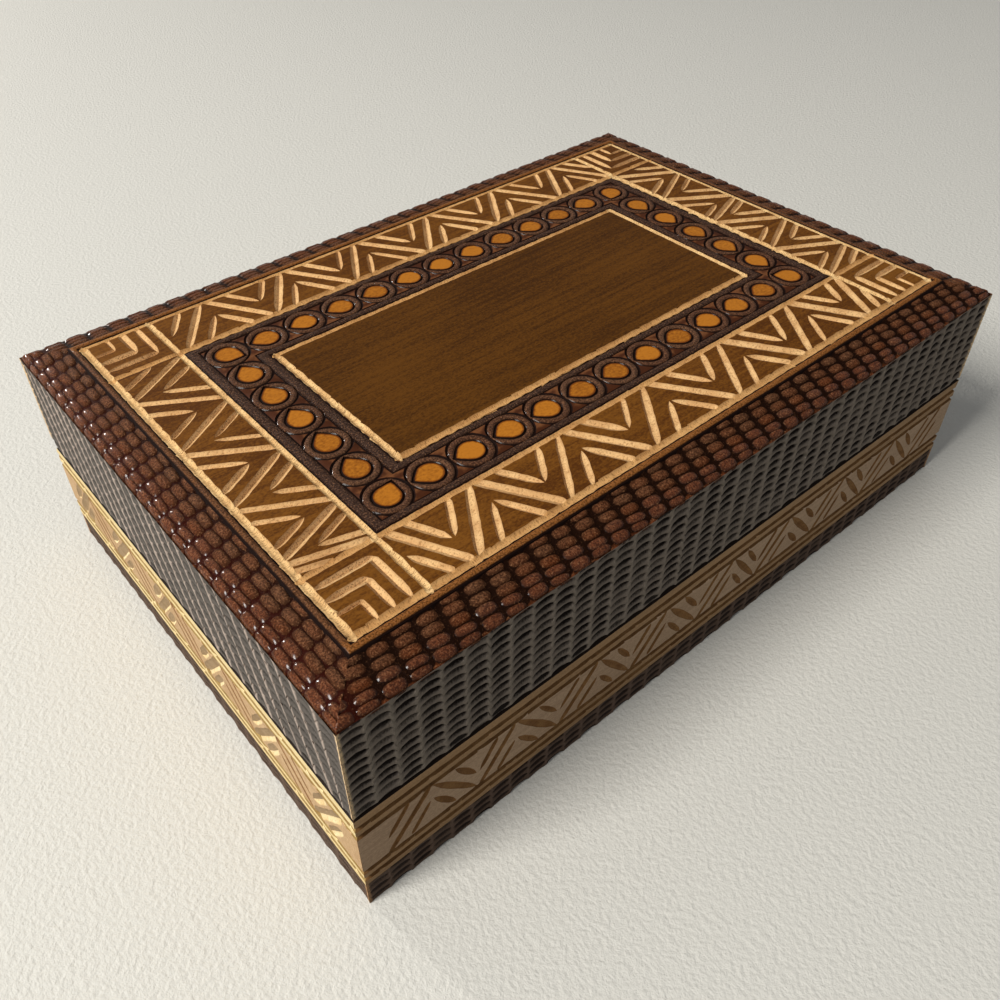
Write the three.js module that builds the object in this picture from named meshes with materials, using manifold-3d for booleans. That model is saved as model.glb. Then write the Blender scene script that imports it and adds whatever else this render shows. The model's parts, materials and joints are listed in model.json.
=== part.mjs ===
// Trinket box of limewood with a hinged lid, stained and carved by hand.
// Millimetres, Z up. The origin is the middle of the resting face, the front long side faces -Y,
// and the two butt hinges stand at the back, +Y. The lid is shown closed.
import * as THREE from 'three';
import { mergeVertices } from 'three/addons/utils/BufferGeometryUtils.js';
import Module from 'manifold-3d';

const wasm = await Module();
wasm.setup();

// Outside of the closed box
const LENGTH = 178;
const WIDTH = 121.5;
const HEIGHT = 55.5;

// Boards
const WALL = 9;
const TOP_BOARD = 9;
const BOTTOM_BOARD = 6;
const BOARD_LIP = 4.5;
const RABBET = 4.5;
const GLUE_GAP = 0.1;
const BOARD_PLAY = 0.25;

// Parting plane between base and lid
const PARTING = 28.75;
const PARTING_GAP = 0.25;
const BASE_TOP = PARTING - PARTING_GAP / 2;
const LID_BOTTOM = PARTING + PARTING_GAP / 2;
const BOARD_UNDERSIDE = HEIGHT - TOP_BOARD;

// Gouged columns that run round the sides and over the border of the lid
const COLUMNS_LONG = 38;
const COLUMNS_SHORT = 26;
const FLUTE_DEPTH = 0.8;
const FLUTE_SHOULDER = 0.25; // as a share of the column's width
const FLUTE_STRIP = 7;

// Border of the lid: columns of pebbles on a slope round the flat middle
const BORDER_EDGE_Z = 52.4;
const BORDER_SHOULDER = { inset: 1.6, crest: 53.5, gap: 52.7 };
const BORDER_HEAD = { inset: 8.6, crest: 55, gap: 54.4 };
const FIELD_INSET = 8.2;

// Carved frames on the flat middle, as half lengths and half widths of their centre lines
const OUTER_FRAME = { x: 78.4, y: 49.9 };
const INNER_FRAME = { x: 63.9, y: 35.2 };
const PANEL_FRAME = { x: 48.9, y: 21.4 };
const FRAME_LINE = { width: 1.6, depth: 0.6, taper: 0.014 };
const LINE_OVERRUN = 0.9;

// Zigzag of gouge strokes: where it turns, from left to right or from back to front, beginning on
// the inner frame and changing sides at each turn. The back band begins on the inner frame too.
const ZIGZAG_BACK = [-62.2, -51, -40.7, -30.5, -19.8, -10, 1.2, 12, 22.8, 33.5, 44.2, 54, 63.6];
const ZIGZAG_FRONT = [-62.8, -54, -43.5, -33.5, -22.3, -11.8, 0.5, 11.8, 23.2, 34, 45.7, 55.4, 64];
const ZIGZAG_LEFT = [34.8, 25, 15, 5, -5, -14.2, -23.3, -30.5, -35.6];
const ZIGZAG_RIGHT = [34, 24.8, 16.2, 5.8, -0.5, -10.2, -18.2, -27.5, -34.7];
const STROKE = { width: 1.5, depth: 0.55, taper: 0.22 };
const CHEVRON_HEIGHT = 0.58;
const CHEVRON_SPREAD = 0.52;
const CORNER_STEPS = [4.9, 8.2, 11.5];

// Chain of ring cuts between the inner frame and the centre panel
const RING_LINE = { x: 56.4, y: 28.3 };
const RINGS_LONG = 13;
const RINGS_SHORT = 7;
const RING_CUT = { inner: 2.45, outer: 3.2, depth: 0.5, sides: 8 };

// Plain wood band of the base: two cut lines above and below a zigzag
const BAND_LINES = [8.9, 11.3, 23, 25.6];
const BAND_LINE = { width: 1.3, depth: 0.5, taper: 0.004 };
const BAND_ZIGZAG = { low: 12.2, high: 22.1 };
const BAND_PERIODS_LONG = 9;
const BAND_PERIODS_SHORT = 6;

// Butt hinges let into the back edge
const HINGE_X = 50;
const HINGE_LENGTH = 25;
const AXIS_INSET = 1.9;
const CHAMFER_ANGLE = THREE.MathUtils.degToRad(51.5);
const KNUCKLE_RADIUS = 1.75;
const KNUCKLE_SPLIT = 4.15;
const BORE_RADIUS = 1;
const PIN_RADIUS = 0.65;
const PIN_HEAD = { radius: 1.25, length: 0.7, gap: 0.2 };
const LEAF_THICKNESS = 0.875;
const LEAF_WIDTH = 6;
const HINGE_PLAY = 0.3;
const ROUND_SIDES = 12;

// Countersunk screws of the leaves
const SCREW_X = 8.2;
const SCREW_INSET = 6;
const SCREW = { head: 1.5, shank: 0.75, length: 8, cone: 0.75, land: 0.1, point: 1.4 };
const SCREW_HOLE = { top: 2, bottom: 1.15, pilot: 1.1, extra: 0.4, past: 0.2 };
const SCREW_SIDES = 8;

// How far a cutter reaches past the face that it opens
const PAST = 1;

function wood(color, roughness) {
  return new THREE.MeshStandardMaterial({ color, roughness, metalness: 0 });
}

const STAINED_TOP = wood(0x5a3212, 0.42);
const STAINED_SIDE = wood(0x45403b, 0.7);
const BARE_WOOD = wood(0xc9a878, 0.65);
const INNER_WOOD = wood(0xb89a6c, 0.75);
const BRASS = new THREE.MeshStandardMaterial({ color: 0xb08a45, roughness: 0.38, metalness: 1 });

// Turning closed three.js geometry into solids and back

function solidOf(geometry) {
  const bare = geometry.clone();
  bare.deleteAttribute('normal');
  bare.deleteAttribute('uv');
  const merged = mergeVertices(bare, 1e-4);
  return new wasm.Manifold(new wasm.Mesh({
    numProp: 3,
    vertProperties: Float32Array.from(merged.attributes.position.array),
    triVerts: Uint32Array.from(merged.index.array),
  }));
}

function geometryOf(solid) {
  const { vertProperties, triVerts } = solid.getMesh();
  const geometry = new THREE.BufferGeometry();
  geometry.setAttribute('position', new THREE.BufferAttribute(Float32Array.from(vertProperties), 3));
  geometry.setIndex(new THREE.BufferAttribute(Uint32Array.from(triVerts), 1));
  geometry.computeVertexNormals();
  return geometry;
}

function carve(geometry, cutters) {
  let solid = solidOf(geometry);
  for (const cutter of cutters) solid = solid.subtract(solidOf(cutter));
  return geometryOf(solid);
}

function join(geometries) {
  return geometryOf(geometries.map(solidOf).reduce((whole, part) => whole.add(part)));
}

// Plain forms

function at(x, y) {
  return new THREE.Vector2(x, y);
}

function box(x0, x1, y0, y1, z0, z1) {
  const geometry = new THREE.BoxGeometry(x1 - x0, y1 - y0, z1 - z0);
  return geometry.translate((x0 + x1) / 2, (y0 + y1) / 2, (z0 + z1) / 2);
}

function barAlongX(radius, x0, x1, sides) {
  const geometry = new THREE.CylinderGeometry(radius, radius, x1 - x0, sides);
  return geometry.rotateZ(-Math.PI / 2).translate((x0 + x1) / 2, 0, 0);
}

function extrudeUp(points, z0, z1) {
  const shape = new THREE.Shape(points);
  const geometry = new THREE.ExtrudeGeometry(shape, { depth: z1 - z0, bevelEnabled: false });
  return geometry.translate(0, 0, z0);
}

function named(name, geometry, material) {
  const mesh = new THREE.Mesh(geometry, material);
  mesh.name = name;
  return mesh;
}

// Gouge cuts. A stroke is a spindle of four sides that lies half sunk in the surface, pointed at
// both ends, so that it leaves a V cut that dies out.

function strokeCutter(start, end, { width, depth, taper }) {
  const length = start.distanceTo(end);
  const half = width / 2;
  const profile = [at(0, 0), at(half, taper * length), at(half, (1 - taper) * length), at(0, length)];
  const spindle = new THREE.LatheGeometry(profile, 4);
  spindle.scale(1, 1, depth / half);
  const angle = Math.atan2(end.y - start.y, end.x - start.x) - Math.PI / 2;
  return spindle.rotateZ(angle).translate(start.x, start.y, 0);
}

function frameLineCutters(halfX, halfY, reach) {
  const cutters = [];
  for (const side of [-1, 1]) {
    const x = reach.x + LINE_OVERRUN;
    const y = reach.y + LINE_OVERRUN;
    cutters.push(strokeCutter(at(-x, side * halfY), at(x, side * halfY), FRAME_LINE));
    cutters.push(strokeCutter(at(side * halfX, -y), at(side * halfX, y), FRAME_LINE));
  }
  return cutters;
}

// A zigzag between two parallel lines, with a smaller chevron inside each of its triangles. Turns
// hold the place along the band; even ones stand on line a, odd ones on line b.
function zigzagStrokes(turns, lineA, lineB, withChevrons = true) {
  const strokes = [];
  const line = (index) => (index % 2 === 0 ? lineA : lineB);
  for (let i = 0; i + 1 < turns.length; i += 1) {
    strokes.push([at(turns[i], line(i)), at(turns[i + 1], line(i + 1))]);
  }
  if (!withChevrons) return strokes;
  for (let i = 0; i < turns.length; i += 1) {
    const foot = line(i + 1);
    const apex = at(turns[i], foot + CHEVRON_HEIGHT * (line(i) - foot));
    for (const neighbour of [i - 1, i + 1]) {
      if (neighbour < 0 || neighbour >= turns.length) continue;
      const spread = CHEVRON_SPREAD * (turns[neighbour] - turns[i]);
      strokes.push([apex, at(turns[i] + spread, foot)]);
    }
  }
  return strokes;
}

function cornerStrokes() {
  const strokes = [];
  for (const sx of [-1, 1]) {
    for (const sy of [-1, 1]) {
      for (const step of CORNER_STEPS) {
        const x = OUTER_FRAME.x - step;
        const y = OUTER_FRAME.y - step;
        strokes.push([at(sx * x, sy * OUTER_FRAME.y), at(sx * x, sy * y)]);
        strokes.push([at(sx * OUTER_FRAME.x, sy * y), at(sx * x, sy * y)]);
      }
    }
  }
  return strokes;
}

function swapped([start, end]) {
  return [at(start.y, start.x), at(end.y, end.x)];
}

function lidStrokes() {
  return [
    ...zigzagStrokes(ZIGZAG_BACK, INNER_FRAME.y, OUTER_FRAME.y),
    ...zigzagStrokes(ZIGZAG_FRONT, -INNER_FRAME.y, -OUTER_FRAME.y),
    ...zigzagStrokes(ZIGZAG_LEFT, -INNER_FRAME.x, -OUTER_FRAME.x).map(swapped),
    ...zigzagStrokes(ZIGZAG_RIGHT, INNER_FRAME.x, OUTER_FRAME.x).map(swapped),
    ...cornerStrokes(),
  ];
}

function ringCentres() {
  const centres = [];
  for (let i = 0; i < RINGS_LONG; i += 1) {
    const x = RING_LINE.x * (2 * i / (RINGS_LONG - 1) - 1);
    centres.push(at(x, -RING_LINE.y), at(x, RING_LINE.y));
  }
  for (let i = 1; i < RINGS_SHORT - 1; i += 1) {
    const y = RING_LINE.y * (2 * i / (RINGS_SHORT - 1) - 1);
    centres.push(at(-RING_LINE.x, y), at(RING_LINE.x, y));
  }
  return centres;
}

function ringCutter(centre) {
  const { inner, outer, depth, sides } = RING_CUT;
  const middle = (inner + outer) / 2;
  const profile = [at(inner, depth), at(middle, -depth), at(outer, depth), at(inner, depth)];
  const ring = new THREE.LatheGeometry(profile, sides);
  return ring.rotateX(Math.PI / 2).translate(centre.x, centre.y, 0);
}

// Top board of the lid

// Ring of points round a rectangle, with one boundary point and two column points to each column.
function columnRing(boundary, column) {
  const points = [];
  const sides = [
    { count: COLUMNS_LONG, from: [-1, -1], to: [1, -1] },
    { count: COLUMNS_SHORT, from: [1, -1], to: [1, 1] },
    { count: COLUMNS_LONG, from: [1, 1], to: [-1, 1] },
    { count: COLUMNS_SHORT, from: [-1, 1], to: [-1, -1] },
  ];
  for (const { count, from, to } of sides) {
    for (let i = 0; i < count; i += 1) {
      for (const part of [0, FLUTE_SHOULDER, 1 - FLUTE_SHOULDER]) {
        const t = (i + part) / count;
        const { inset, z } = part === 0 ? boundary : column;
        const sx = THREE.MathUtils.lerp(from[0], to[0], t);
        const sy = THREE.MathUtils.lerp(from[1], to[1], t);
        points.push([sx * (LENGTH / 2 - inset), sy * (WIDTH / 2 - inset), z]);
      }
    }
  }
  return points;
}

function loft(rings) {
  const count = rings[0].length;
  const positions = rings.flat(2);
  const index = [];
  for (let r = 0; r + 1 < rings.length; r += 1) {
    for (let i = 0; i < count; i += 1) {
      const j = (i + 1) % count;
      const a = r * count + i;
      const b = r * count + j;
      index.push(a, b, b + count, a, b + count, a + count);
    }
  }
  const flat = (ring) => ring.map(([x, y]) => at(x, y));
  const last = (rings.length - 1) * count;
  for (const [a, b, c] of THREE.ShapeUtils.triangulateShape(flat(rings[0]), [])) index.push(a, c, b);
  for (const [a, b, c] of THREE.ShapeUtils.triangulateShape(flat(rings.at(-1)), [])) {
    index.push(last + a, last + b, last + c);
  }
  const geometry = new THREE.BufferGeometry();
  geometry.setAttribute('position', new THREE.Float32BufferAttribute(positions, 3));
  geometry.setIndex(index);
  return geometry;
}

function topBoard() {
  const edge = (z) => columnRing({ inset: 0, z }, { inset: FLUTE_DEPTH, z });
  const slope = ({ inset, crest, gap }) => columnRing({ inset, z: gap }, { inset, z: crest });
  const underField = FIELD_INSET + 2;
  const core = { inset: underField, z: BORDER_HEAD.gap };
  const border = loft([
    edge(BOARD_UNDERSIDE),
    edge(BORDER_EDGE_Z),
    slope(BORDER_SHOULDER),
    slope(BORDER_HEAD),
    columnRing(core, core),
  ]);
  const fieldX = LENGTH / 2 - FIELD_INSET;
  const fieldY = WIDTH / 2 - FIELD_INSET;
  const field = box(-fieldX, fieldX, -fieldY, fieldY, BORDER_EDGE_Z, HEIGHT);
  const cutters = [
    ...frameLineCutters(OUTER_FRAME.x, OUTER_FRAME.y, OUTER_FRAME),
    ...frameLineCutters(INNER_FRAME.x, INNER_FRAME.y, OUTER_FRAME),
    ...frameLineCutters(PANEL_FRAME.x, PANEL_FRAME.y, PANEL_FRAME),
    ...lidStrokes().map(([start, end]) => strokeCutter(start, end, STROKE)),
    ...ringCentres().map(ringCutter),
  ].map((cutter) => cutter.translate(0, 0, HEIGHT));
  return carve(join([border, field]), cutters);
}

// Walls. Each is built lying along X with its outer face on y = 0 and its thickness towards +Y,
// mitred at both ends, and is then turned into place.

function wallOutline(length, columns) {
  const outer = [at(-length / 2 + GLUE_GAP / 2, 0)];
  const pitch = length / columns;
  for (let i = 0; i < columns; i += 1) {
    const start = -length / 2 + i * pitch;
    if (i > 0) outer.push(at(start, 0));
    outer.push(at(start + FLUTE_SHOULDER * pitch, FLUTE_DEPTH));
    outer.push(at(start + (1 - FLUTE_SHOULDER) * pitch, FLUTE_DEPTH));
  }
  outer.push(at(length / 2 - GLUE_GAP / 2, 0));
  return [...outer, ...wallInside(length)];
}

function wallInside(length) {
  const inner = length / 2 - WALL - GLUE_GAP / 2;
  return [at(inner, WALL), at(-inner, WALL)];
}

function plainOutline(length) {
  const outer = length / 2 - GLUE_GAP / 2;
  return [at(-outer, 0), at(outer, 0), ...wallInside(length)];
}

const LONG_SIDE = { length: LENGTH, columns: COLUMNS_LONG, periods: BAND_PERIODS_LONG };
const SHORT_SIDE = { length: WIDTH, columns: COLUMNS_SHORT, periods: BAND_PERIODS_SHORT };

const SIDES = {
  front: { ...LONG_SIDE, place: [0, -WIDTH / 2], turn: 0 },
  right: { ...SHORT_SIDE, place: [LENGTH / 2, 0], turn: 1 },
  back: { ...LONG_SIDE, place: [0, WIDTH / 2], turn: 2 },
  left: { ...SHORT_SIDE, place: [-LENGTH / 2, 0], turn: 3 },
};

// The cutters are given in the box's own frame, so they are brought into the wall's frame first.
function placedWall(name, side, geometry, cutters, material) {
  const { place, turn } = SIDES[side];
  const mesh = named(name, geometry, material);
  mesh.position.set(place[0], place[1], 0);
  mesh.rotation.z = turn * Math.PI / 2;
  mesh.updateMatrix();
  const inward = mesh.matrix.clone().invert();
  mesh.geometry = carve(geometry, cutters.map((cutter) => cutter.applyMatrix4(inward)));
  return mesh;
}

function lidWall(side) {
  const { length, columns } = SIDES[side];
  const geometry = extrudeUp(wallOutline(length, columns), LID_BOTTOM, BOARD_UNDERSIDE);
  const cutters = side === 'front' ? [] : [backChamferCutter(1)];
  if (side === 'back') cutters.push(...hingeMortiseCutters(1));
  return placedWall(`lid_${side}_wall`, side, geometry, cutters, STAINED_SIDE);
}

function bandCutters(length, periods) {
  const end = length / 2 + PAST;
  const cutters = BAND_LINES.map((z) => strokeCutter(at(-end, z), at(end, z), BAND_LINE));
  const pitch = length / periods;
  const turns = Array.from({ length: 2 * periods }, (_, i) => -length / 2 + (i + 0.5) * pitch / 2);
  for (const [from, to] of zigzagStrokes(turns, BAND_ZIGZAG.low, BAND_ZIGZAG.high, false)) {
    cutters.push(strokeCutter(from, to, STROKE));
  }
  return cutters.map((cutter) => cutter.rotateX(Math.PI / 2));
}

function baseWall(side) {
  const { length, columns, periods } = SIDES[side];
  const band = extrudeUp(plainOutline(length), FLUTE_STRIP, BASE_TOP);
  const strip = extrudeUp(wallOutline(length, columns), 0, FLUTE_STRIP);
  const rabbet = box(-length / 2, length / 2, RABBET, WALL + PAST, -PAST, BOARD_LIP);
  const geometry = carve(join([band, strip]), [rabbet, ...bandCutters(length, periods)]);
  const cutters = side === 'front' ? [] : [backChamferCutter(-1)];
  if (side === 'back') cutters.push(...hingeMortiseCutters(-1));
  return placedWall(`base_${side}_wall`, side, geometry, cutters, BARE_WOOD);
}

// The bottom board has a lip that lies in the walls' rabbets, and a field that stands up between them.
function bottomBoard() {
  const slab = (inset, top) => {
    const x = LENGTH / 2 - inset - BOARD_PLAY;
    const y = WIDTH / 2 - inset - BOARD_PLAY;
    return box(-x, x, -y, y, 0, top);
  };
  const geometry = join([slab(RABBET, BOARD_LIP), slab(WALL, BOTTOM_BOARD)]);
  return named('base_bottom_board', geometry, INNER_WOOD);
}

// Hinges. The pin's axis lies on the parting plane, a little inside the back face. The rear edges of
// lid and base fall away from it at the chamfer angle, and meet when the lid has opened to its stop.

const AXIS_Y = WIDTH / 2 - AXIS_INSET;
const SCREW_Y = WIDTH / 2 - SCREW_INSET;

// upper is 1 for the lid's edge and -1 for the base's.
function backChamferCutter(upper) {
  const run = AXIS_INSET + PAST;
  const profile = [
    at(AXIS_Y, PARTING - upper * PAST),
    at(AXIS_Y, PARTING),
    at(AXIS_Y + run, PARTING + upper * run * Math.tan(CHAMFER_ANGLE)),
    at(AXIS_Y + run, PARTING - upper * PAST),
  ];
  return extrudeAlongX(profile, -LENGTH, LENGTH);
}

function extrudeAlongX(profile, x0, x1) {
  const geometry = extrudeUp(profile, x0, x1);
  return geometry.rotateX(Math.PI / 2).rotateZ(Math.PI / 2);
}

function hingeMortiseCutters(upper) {
  const half = HINGE_LENGTH / 2 + HINGE_PLAY;
  const floor = PARTING + upper * (PARTING_GAP / 2 + LEAF_THICKNESS);
  const open = PARTING - upper * PAST;
  const pocket = half + PIN_HEAD.length;
  const cutters = [];
  for (const x of [-HINGE_X, HINGE_X]) {
    const leaf = box(-half, half, -LEAF_WIDTH - HINGE_PLAY, 0, Math.min(floor, open), Math.max(floor, open));
    leaf.translate(x, AXIS_Y, 0);
    const barrel = barAlongX(KNUCKLE_RADIUS + HINGE_PLAY, -pocket, pocket, ROUND_SIDES);
    cutters.push(leaf, barrel.translate(x, AXIS_Y, PARTING));
    for (const side of [-1, 1]) {
      const depth = SCREW.length + SCREW_HOLE.extra;
      const pilot = new THREE.CylinderGeometry(SCREW_HOLE.pilot, SCREW_HOLE.pilot, depth, SCREW_SIDES);
      pilot.rotateX(Math.PI / 2).translate(x + side * SCREW_X, SCREW_Y, PARTING + upper * depth / 2);
      cutters.push(pilot);
    }
  }
  return cutters;
}

// A leaf is a plate with its knuckles round the pin. The base leaf carries the two outer knuckles
// and the lid leaf the one between them.
function hingeLeaf(upper, x) {
  const half = HINGE_LENGTH / 2;
  const play = HINGE_PLAY / 2;
  const near = PARTING + upper * PARTING_GAP / 2;
  const far = near + upper * LEAF_THICKNESS;
  const plate = box(-half, half, -LEAF_WIDTH, 0, Math.min(near, far), Math.max(near, far));
  const middle = [-KNUCKLE_SPLIT + play, KNUCKLE_SPLIT - play];
  const outer = [[-half, -KNUCKLE_SPLIT - play], [KNUCKLE_SPLIT + play, half]];
  const own = upper > 0 ? [middle] : outer;
  const others = upper > 0
    ? [[-half - PAST, -KNUCKLE_SPLIT + play], [KNUCKLE_SPLIT - play, half + PAST]]
    : [[-KNUCKLE_SPLIT - play, KNUCKLE_SPLIT + play]];
  const barrels = own.map(([a, b]) => barAlongX(KNUCKLE_RADIUS, a, b, ROUND_SIDES).translate(0, 0, PARTING));
  const clear = KNUCKLE_RADIUS + HINGE_PLAY;
  const notches = others.map(([a, b]) => box(a, b, -clear, PAST, PARTING - clear, PARTING + clear));
  const bore = barAlongX(BORE_RADIUS, -half - PAST, half + PAST, SCREW_SIDES);
  const cutters = [bore.translate(0, 0, PARTING)];
  for (const side of [-1, 1]) cutters.push(screwHoleCutter(upper, side * SCREW_X, SCREW_Y - AXIS_Y, near));
  const blank = join([carve(plate, notches), ...barrels]);
  return carve(blank, cutters).translate(x, AXIS_Y, 0);
}

function screwHoleCutter(upper, x, y, near) {
  const run = LEAF_THICKNESS + 2 * SCREW_HOLE.past;
  const profile = [at(0, 0), at(SCREW_HOLE.bottom, 0), at(SCREW_HOLE.top, run), at(0, run)];
  const hole = new THREE.LatheGeometry(profile, SCREW_SIDES).rotateX(Math.PI / 2);
  if (upper > 0) hole.rotateX(Math.PI);
  return hole.translate(x, y, near + upper * (LEAF_THICKNESS + SCREW_HOLE.past));
}

function screwGeometry(upper, x) {
  const { head, shank, length, cone, land, point } = SCREW;
  const profile = [
    at(0, -length),
    at(shank, -length + point),
    at(shank, -cone - land),
    at(head, -land),
    at(head, 0),
    at(0, 0),
  ];
  const screw = new THREE.LatheGeometry(profile, SCREW_SIDES).rotateX(Math.PI / 2);
  if (upper > 0) screw.rotateX(Math.PI);
  return screw.translate(x, SCREW_Y, PARTING + upper * PARTING_GAP / 2);
}

function hingePin(x) {
  const half = HINGE_LENGTH / 2;
  const rod = barAlongX(PIN_RADIUS, -half - PIN_HEAD.gap, half + PIN_HEAD.gap, SCREW_SIDES);
  const heads = [-1, 1].map((side) => {
    const inner = side * (half + PIN_HEAD.gap / 2);
    const outer = side * (half + PIN_HEAD.length);
    return barAlongX(PIN_HEAD.radius, Math.min(inner, outer), Math.max(inner, outer), ROUND_SIDES);
  });
  return join([rod, ...heads]).translate(x, AXIS_Y, PARTING);
}

function addHinge(base, lid, label, x) {
  base.add(named(`hinge_${label}_base_leaf`, hingeLeaf(-1, x), BRASS));
  base.add(named(`hinge_${label}_pin`, hingePin(x), BRASS));
  lid.add(named(`hinge_${label}_lid_leaf`, hingeLeaf(1, x), BRASS));
  for (const [number, side] of [[1, -1], [2, 1]]) {
    base.add(named(`hinge_${label}_base_screw_${number}`, screwGeometry(-1, x + side * SCREW_X), BRASS));
    lid.add(named(`hinge_${label}_lid_screw_${number}`, screwGeometry(1, x + side * SCREW_X), BRASS));
  }
}

function trinketBox() {
  const base = new THREE.Group();
  const lid = new THREE.Group();
  base.add(bottomBoard());
  for (const side of Object.keys(SIDES)) {
    base.add(baseWall(side));
    lid.add(lidWall(side));
  }
  lid.add(named('lid_top_board', topBoard(), STAINED_TOP));
  addHinge(base, lid, 'left', -HINGE_X);
  addHinge(base, lid, 'right', HINGE_X);
  const whole = new THREE.Group();
  whole.add(base, lid);
  return whole;
}

export default trinketBox();
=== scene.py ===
"""Visual model of a carved limewood trinket box with a hinged lid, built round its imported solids.

Patterns are worked out in millimetres in the box's own frame: X runs along the front from left to
right, Y from the front to the hinges, and Z up, from the middle of the resting face. A carved face
is drawn as a plan of cut lines and outlines, triangulated so that every cut keeps crisp edges, and
given its relief by formula. The meshes are made in metres.
"""
import json
import logging
import math
from dataclasses import dataclass
from enum import Enum, IntEnum
from functools import partial
from itertools import product
from typing import Callable, Protocol

import bmesh
import bpy
import numpy as np
from mathutils import Matrix, Vector
from mathutils.geometry import delaunay_2d_cdt


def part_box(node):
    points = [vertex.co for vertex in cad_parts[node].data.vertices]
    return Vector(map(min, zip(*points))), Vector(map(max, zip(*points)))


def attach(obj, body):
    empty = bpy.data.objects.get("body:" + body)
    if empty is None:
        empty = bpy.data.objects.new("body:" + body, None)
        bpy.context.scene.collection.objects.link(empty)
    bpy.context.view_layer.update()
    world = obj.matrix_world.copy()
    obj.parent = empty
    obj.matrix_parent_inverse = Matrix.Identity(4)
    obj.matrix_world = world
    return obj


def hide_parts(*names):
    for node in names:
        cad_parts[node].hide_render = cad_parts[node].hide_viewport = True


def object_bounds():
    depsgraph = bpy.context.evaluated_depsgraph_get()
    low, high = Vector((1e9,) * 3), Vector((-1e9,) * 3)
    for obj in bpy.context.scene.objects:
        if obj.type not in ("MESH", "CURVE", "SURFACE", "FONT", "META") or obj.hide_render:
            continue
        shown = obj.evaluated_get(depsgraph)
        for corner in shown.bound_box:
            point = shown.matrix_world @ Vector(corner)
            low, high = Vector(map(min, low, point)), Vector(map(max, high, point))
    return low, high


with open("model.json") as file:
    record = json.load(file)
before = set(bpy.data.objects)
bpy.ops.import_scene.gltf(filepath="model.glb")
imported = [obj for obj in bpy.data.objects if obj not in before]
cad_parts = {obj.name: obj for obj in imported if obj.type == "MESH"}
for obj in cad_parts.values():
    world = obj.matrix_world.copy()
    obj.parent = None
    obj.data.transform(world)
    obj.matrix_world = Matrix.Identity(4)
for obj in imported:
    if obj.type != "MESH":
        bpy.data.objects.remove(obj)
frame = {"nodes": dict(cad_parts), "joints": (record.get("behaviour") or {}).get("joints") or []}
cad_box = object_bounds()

LOG = logging.getLogger("trinket_box")
MM = 0.001

Pair = tuple[float, float]
Triple = tuple[float, float, float]
Colour = tuple[int, int, int]
Socket = bpy.types.NodeSocket
Material = bpy.types.Material
Piece = bpy.types.Object
Array = np.ndarray
Values = float | Array


# Sizes and sides


@dataclass(frozen=True)
class BoxSizes:
    """Driving dimensions in millimetres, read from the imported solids."""

    length: float
    width: float
    height: float
    wall: float
    base_top: float
    lid_bottom: float
    board_underside: float
    axis_y: float
    axis_z: float

    @classmethod
    def from_frame(cls) -> "BoxSizes":
        """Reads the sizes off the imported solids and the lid's joint.

        Returns:
            The sizes.
        """
        low, high = cad_box
        base_low, base_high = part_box("base_front_wall")
        lid_low, lid_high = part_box("lid_front_wall")
        axis = frame["joints"][0]["pos_m"]
        outside = (high.x - low.x, high.y - low.y, high.z)
        levels = (base_high.z, lid_low.z, lid_high.z)
        metres = (*outside, base_high.y - base_low.y, *levels, axis[1], axis[2])
        return cls(*(round(value / MM, 3) for value in metres))

    @property
    def corner(self) -> Pair:
        """Half length and half width."""
        return self.length / 2, self.width / 2


class Side(Enum):
    """A side of the box, numbered by quarter turns from the front."""

    FRONT = 0
    RIGHT = 1
    BACK = 2
    LEFT = 3

    @property
    def turn(self) -> Pair:
        """Cosine and sine of the side's quarter turns."""
        return ((1, 0), (0, 1), (-1, 0), (0, -1))[self.value]

    @property
    def label(self) -> str:
        """The side's name in lower case."""
        return self.name.lower()

    def half_length(self, sizes: BoxSizes) -> float:
        """Half the side's own length."""
        return (sizes.width if self.value % 2 else sizes.length) / 2

    def reach(self, sizes: BoxSizes) -> float:
        """Distance from the middle of the box to the side's face."""
        return (sizes.length if self.value % 2 else sizes.width) / 2

    def place(self, sizes: BoxSizes, along: Array, inset: Array) -> Array:
        """Turns places on a side into the box's plan.

        Args:
            sizes: The box's sizes.
            along: Distance along the side from its middle, to the right seen from outside.
            inset: Distance in from the side's face.

        Returns:
            X and Y in the last axis.
        """
        cosine, sine = self.turn
        across = inset - self.reach(sizes)
        return np.stack([cosine * along - sine * across, sine * along + cosine * across], -1)

    def unplace(self, sizes: BoxSizes, plan: Array) -> tuple[Array, Array]:
        """Turns points of the box's plan into places on a side.

        Args:
            sizes: The box's sizes.
            plan: X and Y in the last axis.

        Returns:
            Distance along the side and inset from its face.
        """
        cosine, sine = self.turn
        x, y = plan[..., 0], plan[..., 1]
        return cosine * x + sine * y, cosine * y - sine * x + self.reach(sizes)


class Paint(IntEnum):
    """What a face of the carved wood is finished as."""

    GROUND = 0
    PANEL = 1
    BARE = 2
    # Burnt lines, and eased edges painted dark as the shade of the gap between lid and base.
    BURNT = 3
    RING = 4
    DOT = 5
    TAN = 6
    BEAD = 7
    RIM = 8
    PEBBLE = 9
    COLUMN = 10
    BAND = 11
    BAND_LINE = 12
    BAND_RISING = 13
    BAND_FALLING = 14
    SKIRT = 15
    PLAIN = 16
    # Cut walls where the wood tore, painted darker as shade.
    TORN = 17
    LINE_ALONG = 18
    LINE_ACROSS = 19
    # Columns of the lit left side, painted lighter as light falls there.
    COLUMN_FADED = 20
    BAND_RAIL = 21
    BAND_SHADE = 22
    PEBBLE_OUTER = 23


# Carved forms. Each knows the outlines that its mesh needs and the relief between them.


# Shares of a raised body's width at which its mesh has lines.
BODY_LINES = (0, 0.15, 0.5, 0.85, 1)
# The least that a length is taken as before it divides another.
TINY = 1e-6


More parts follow.
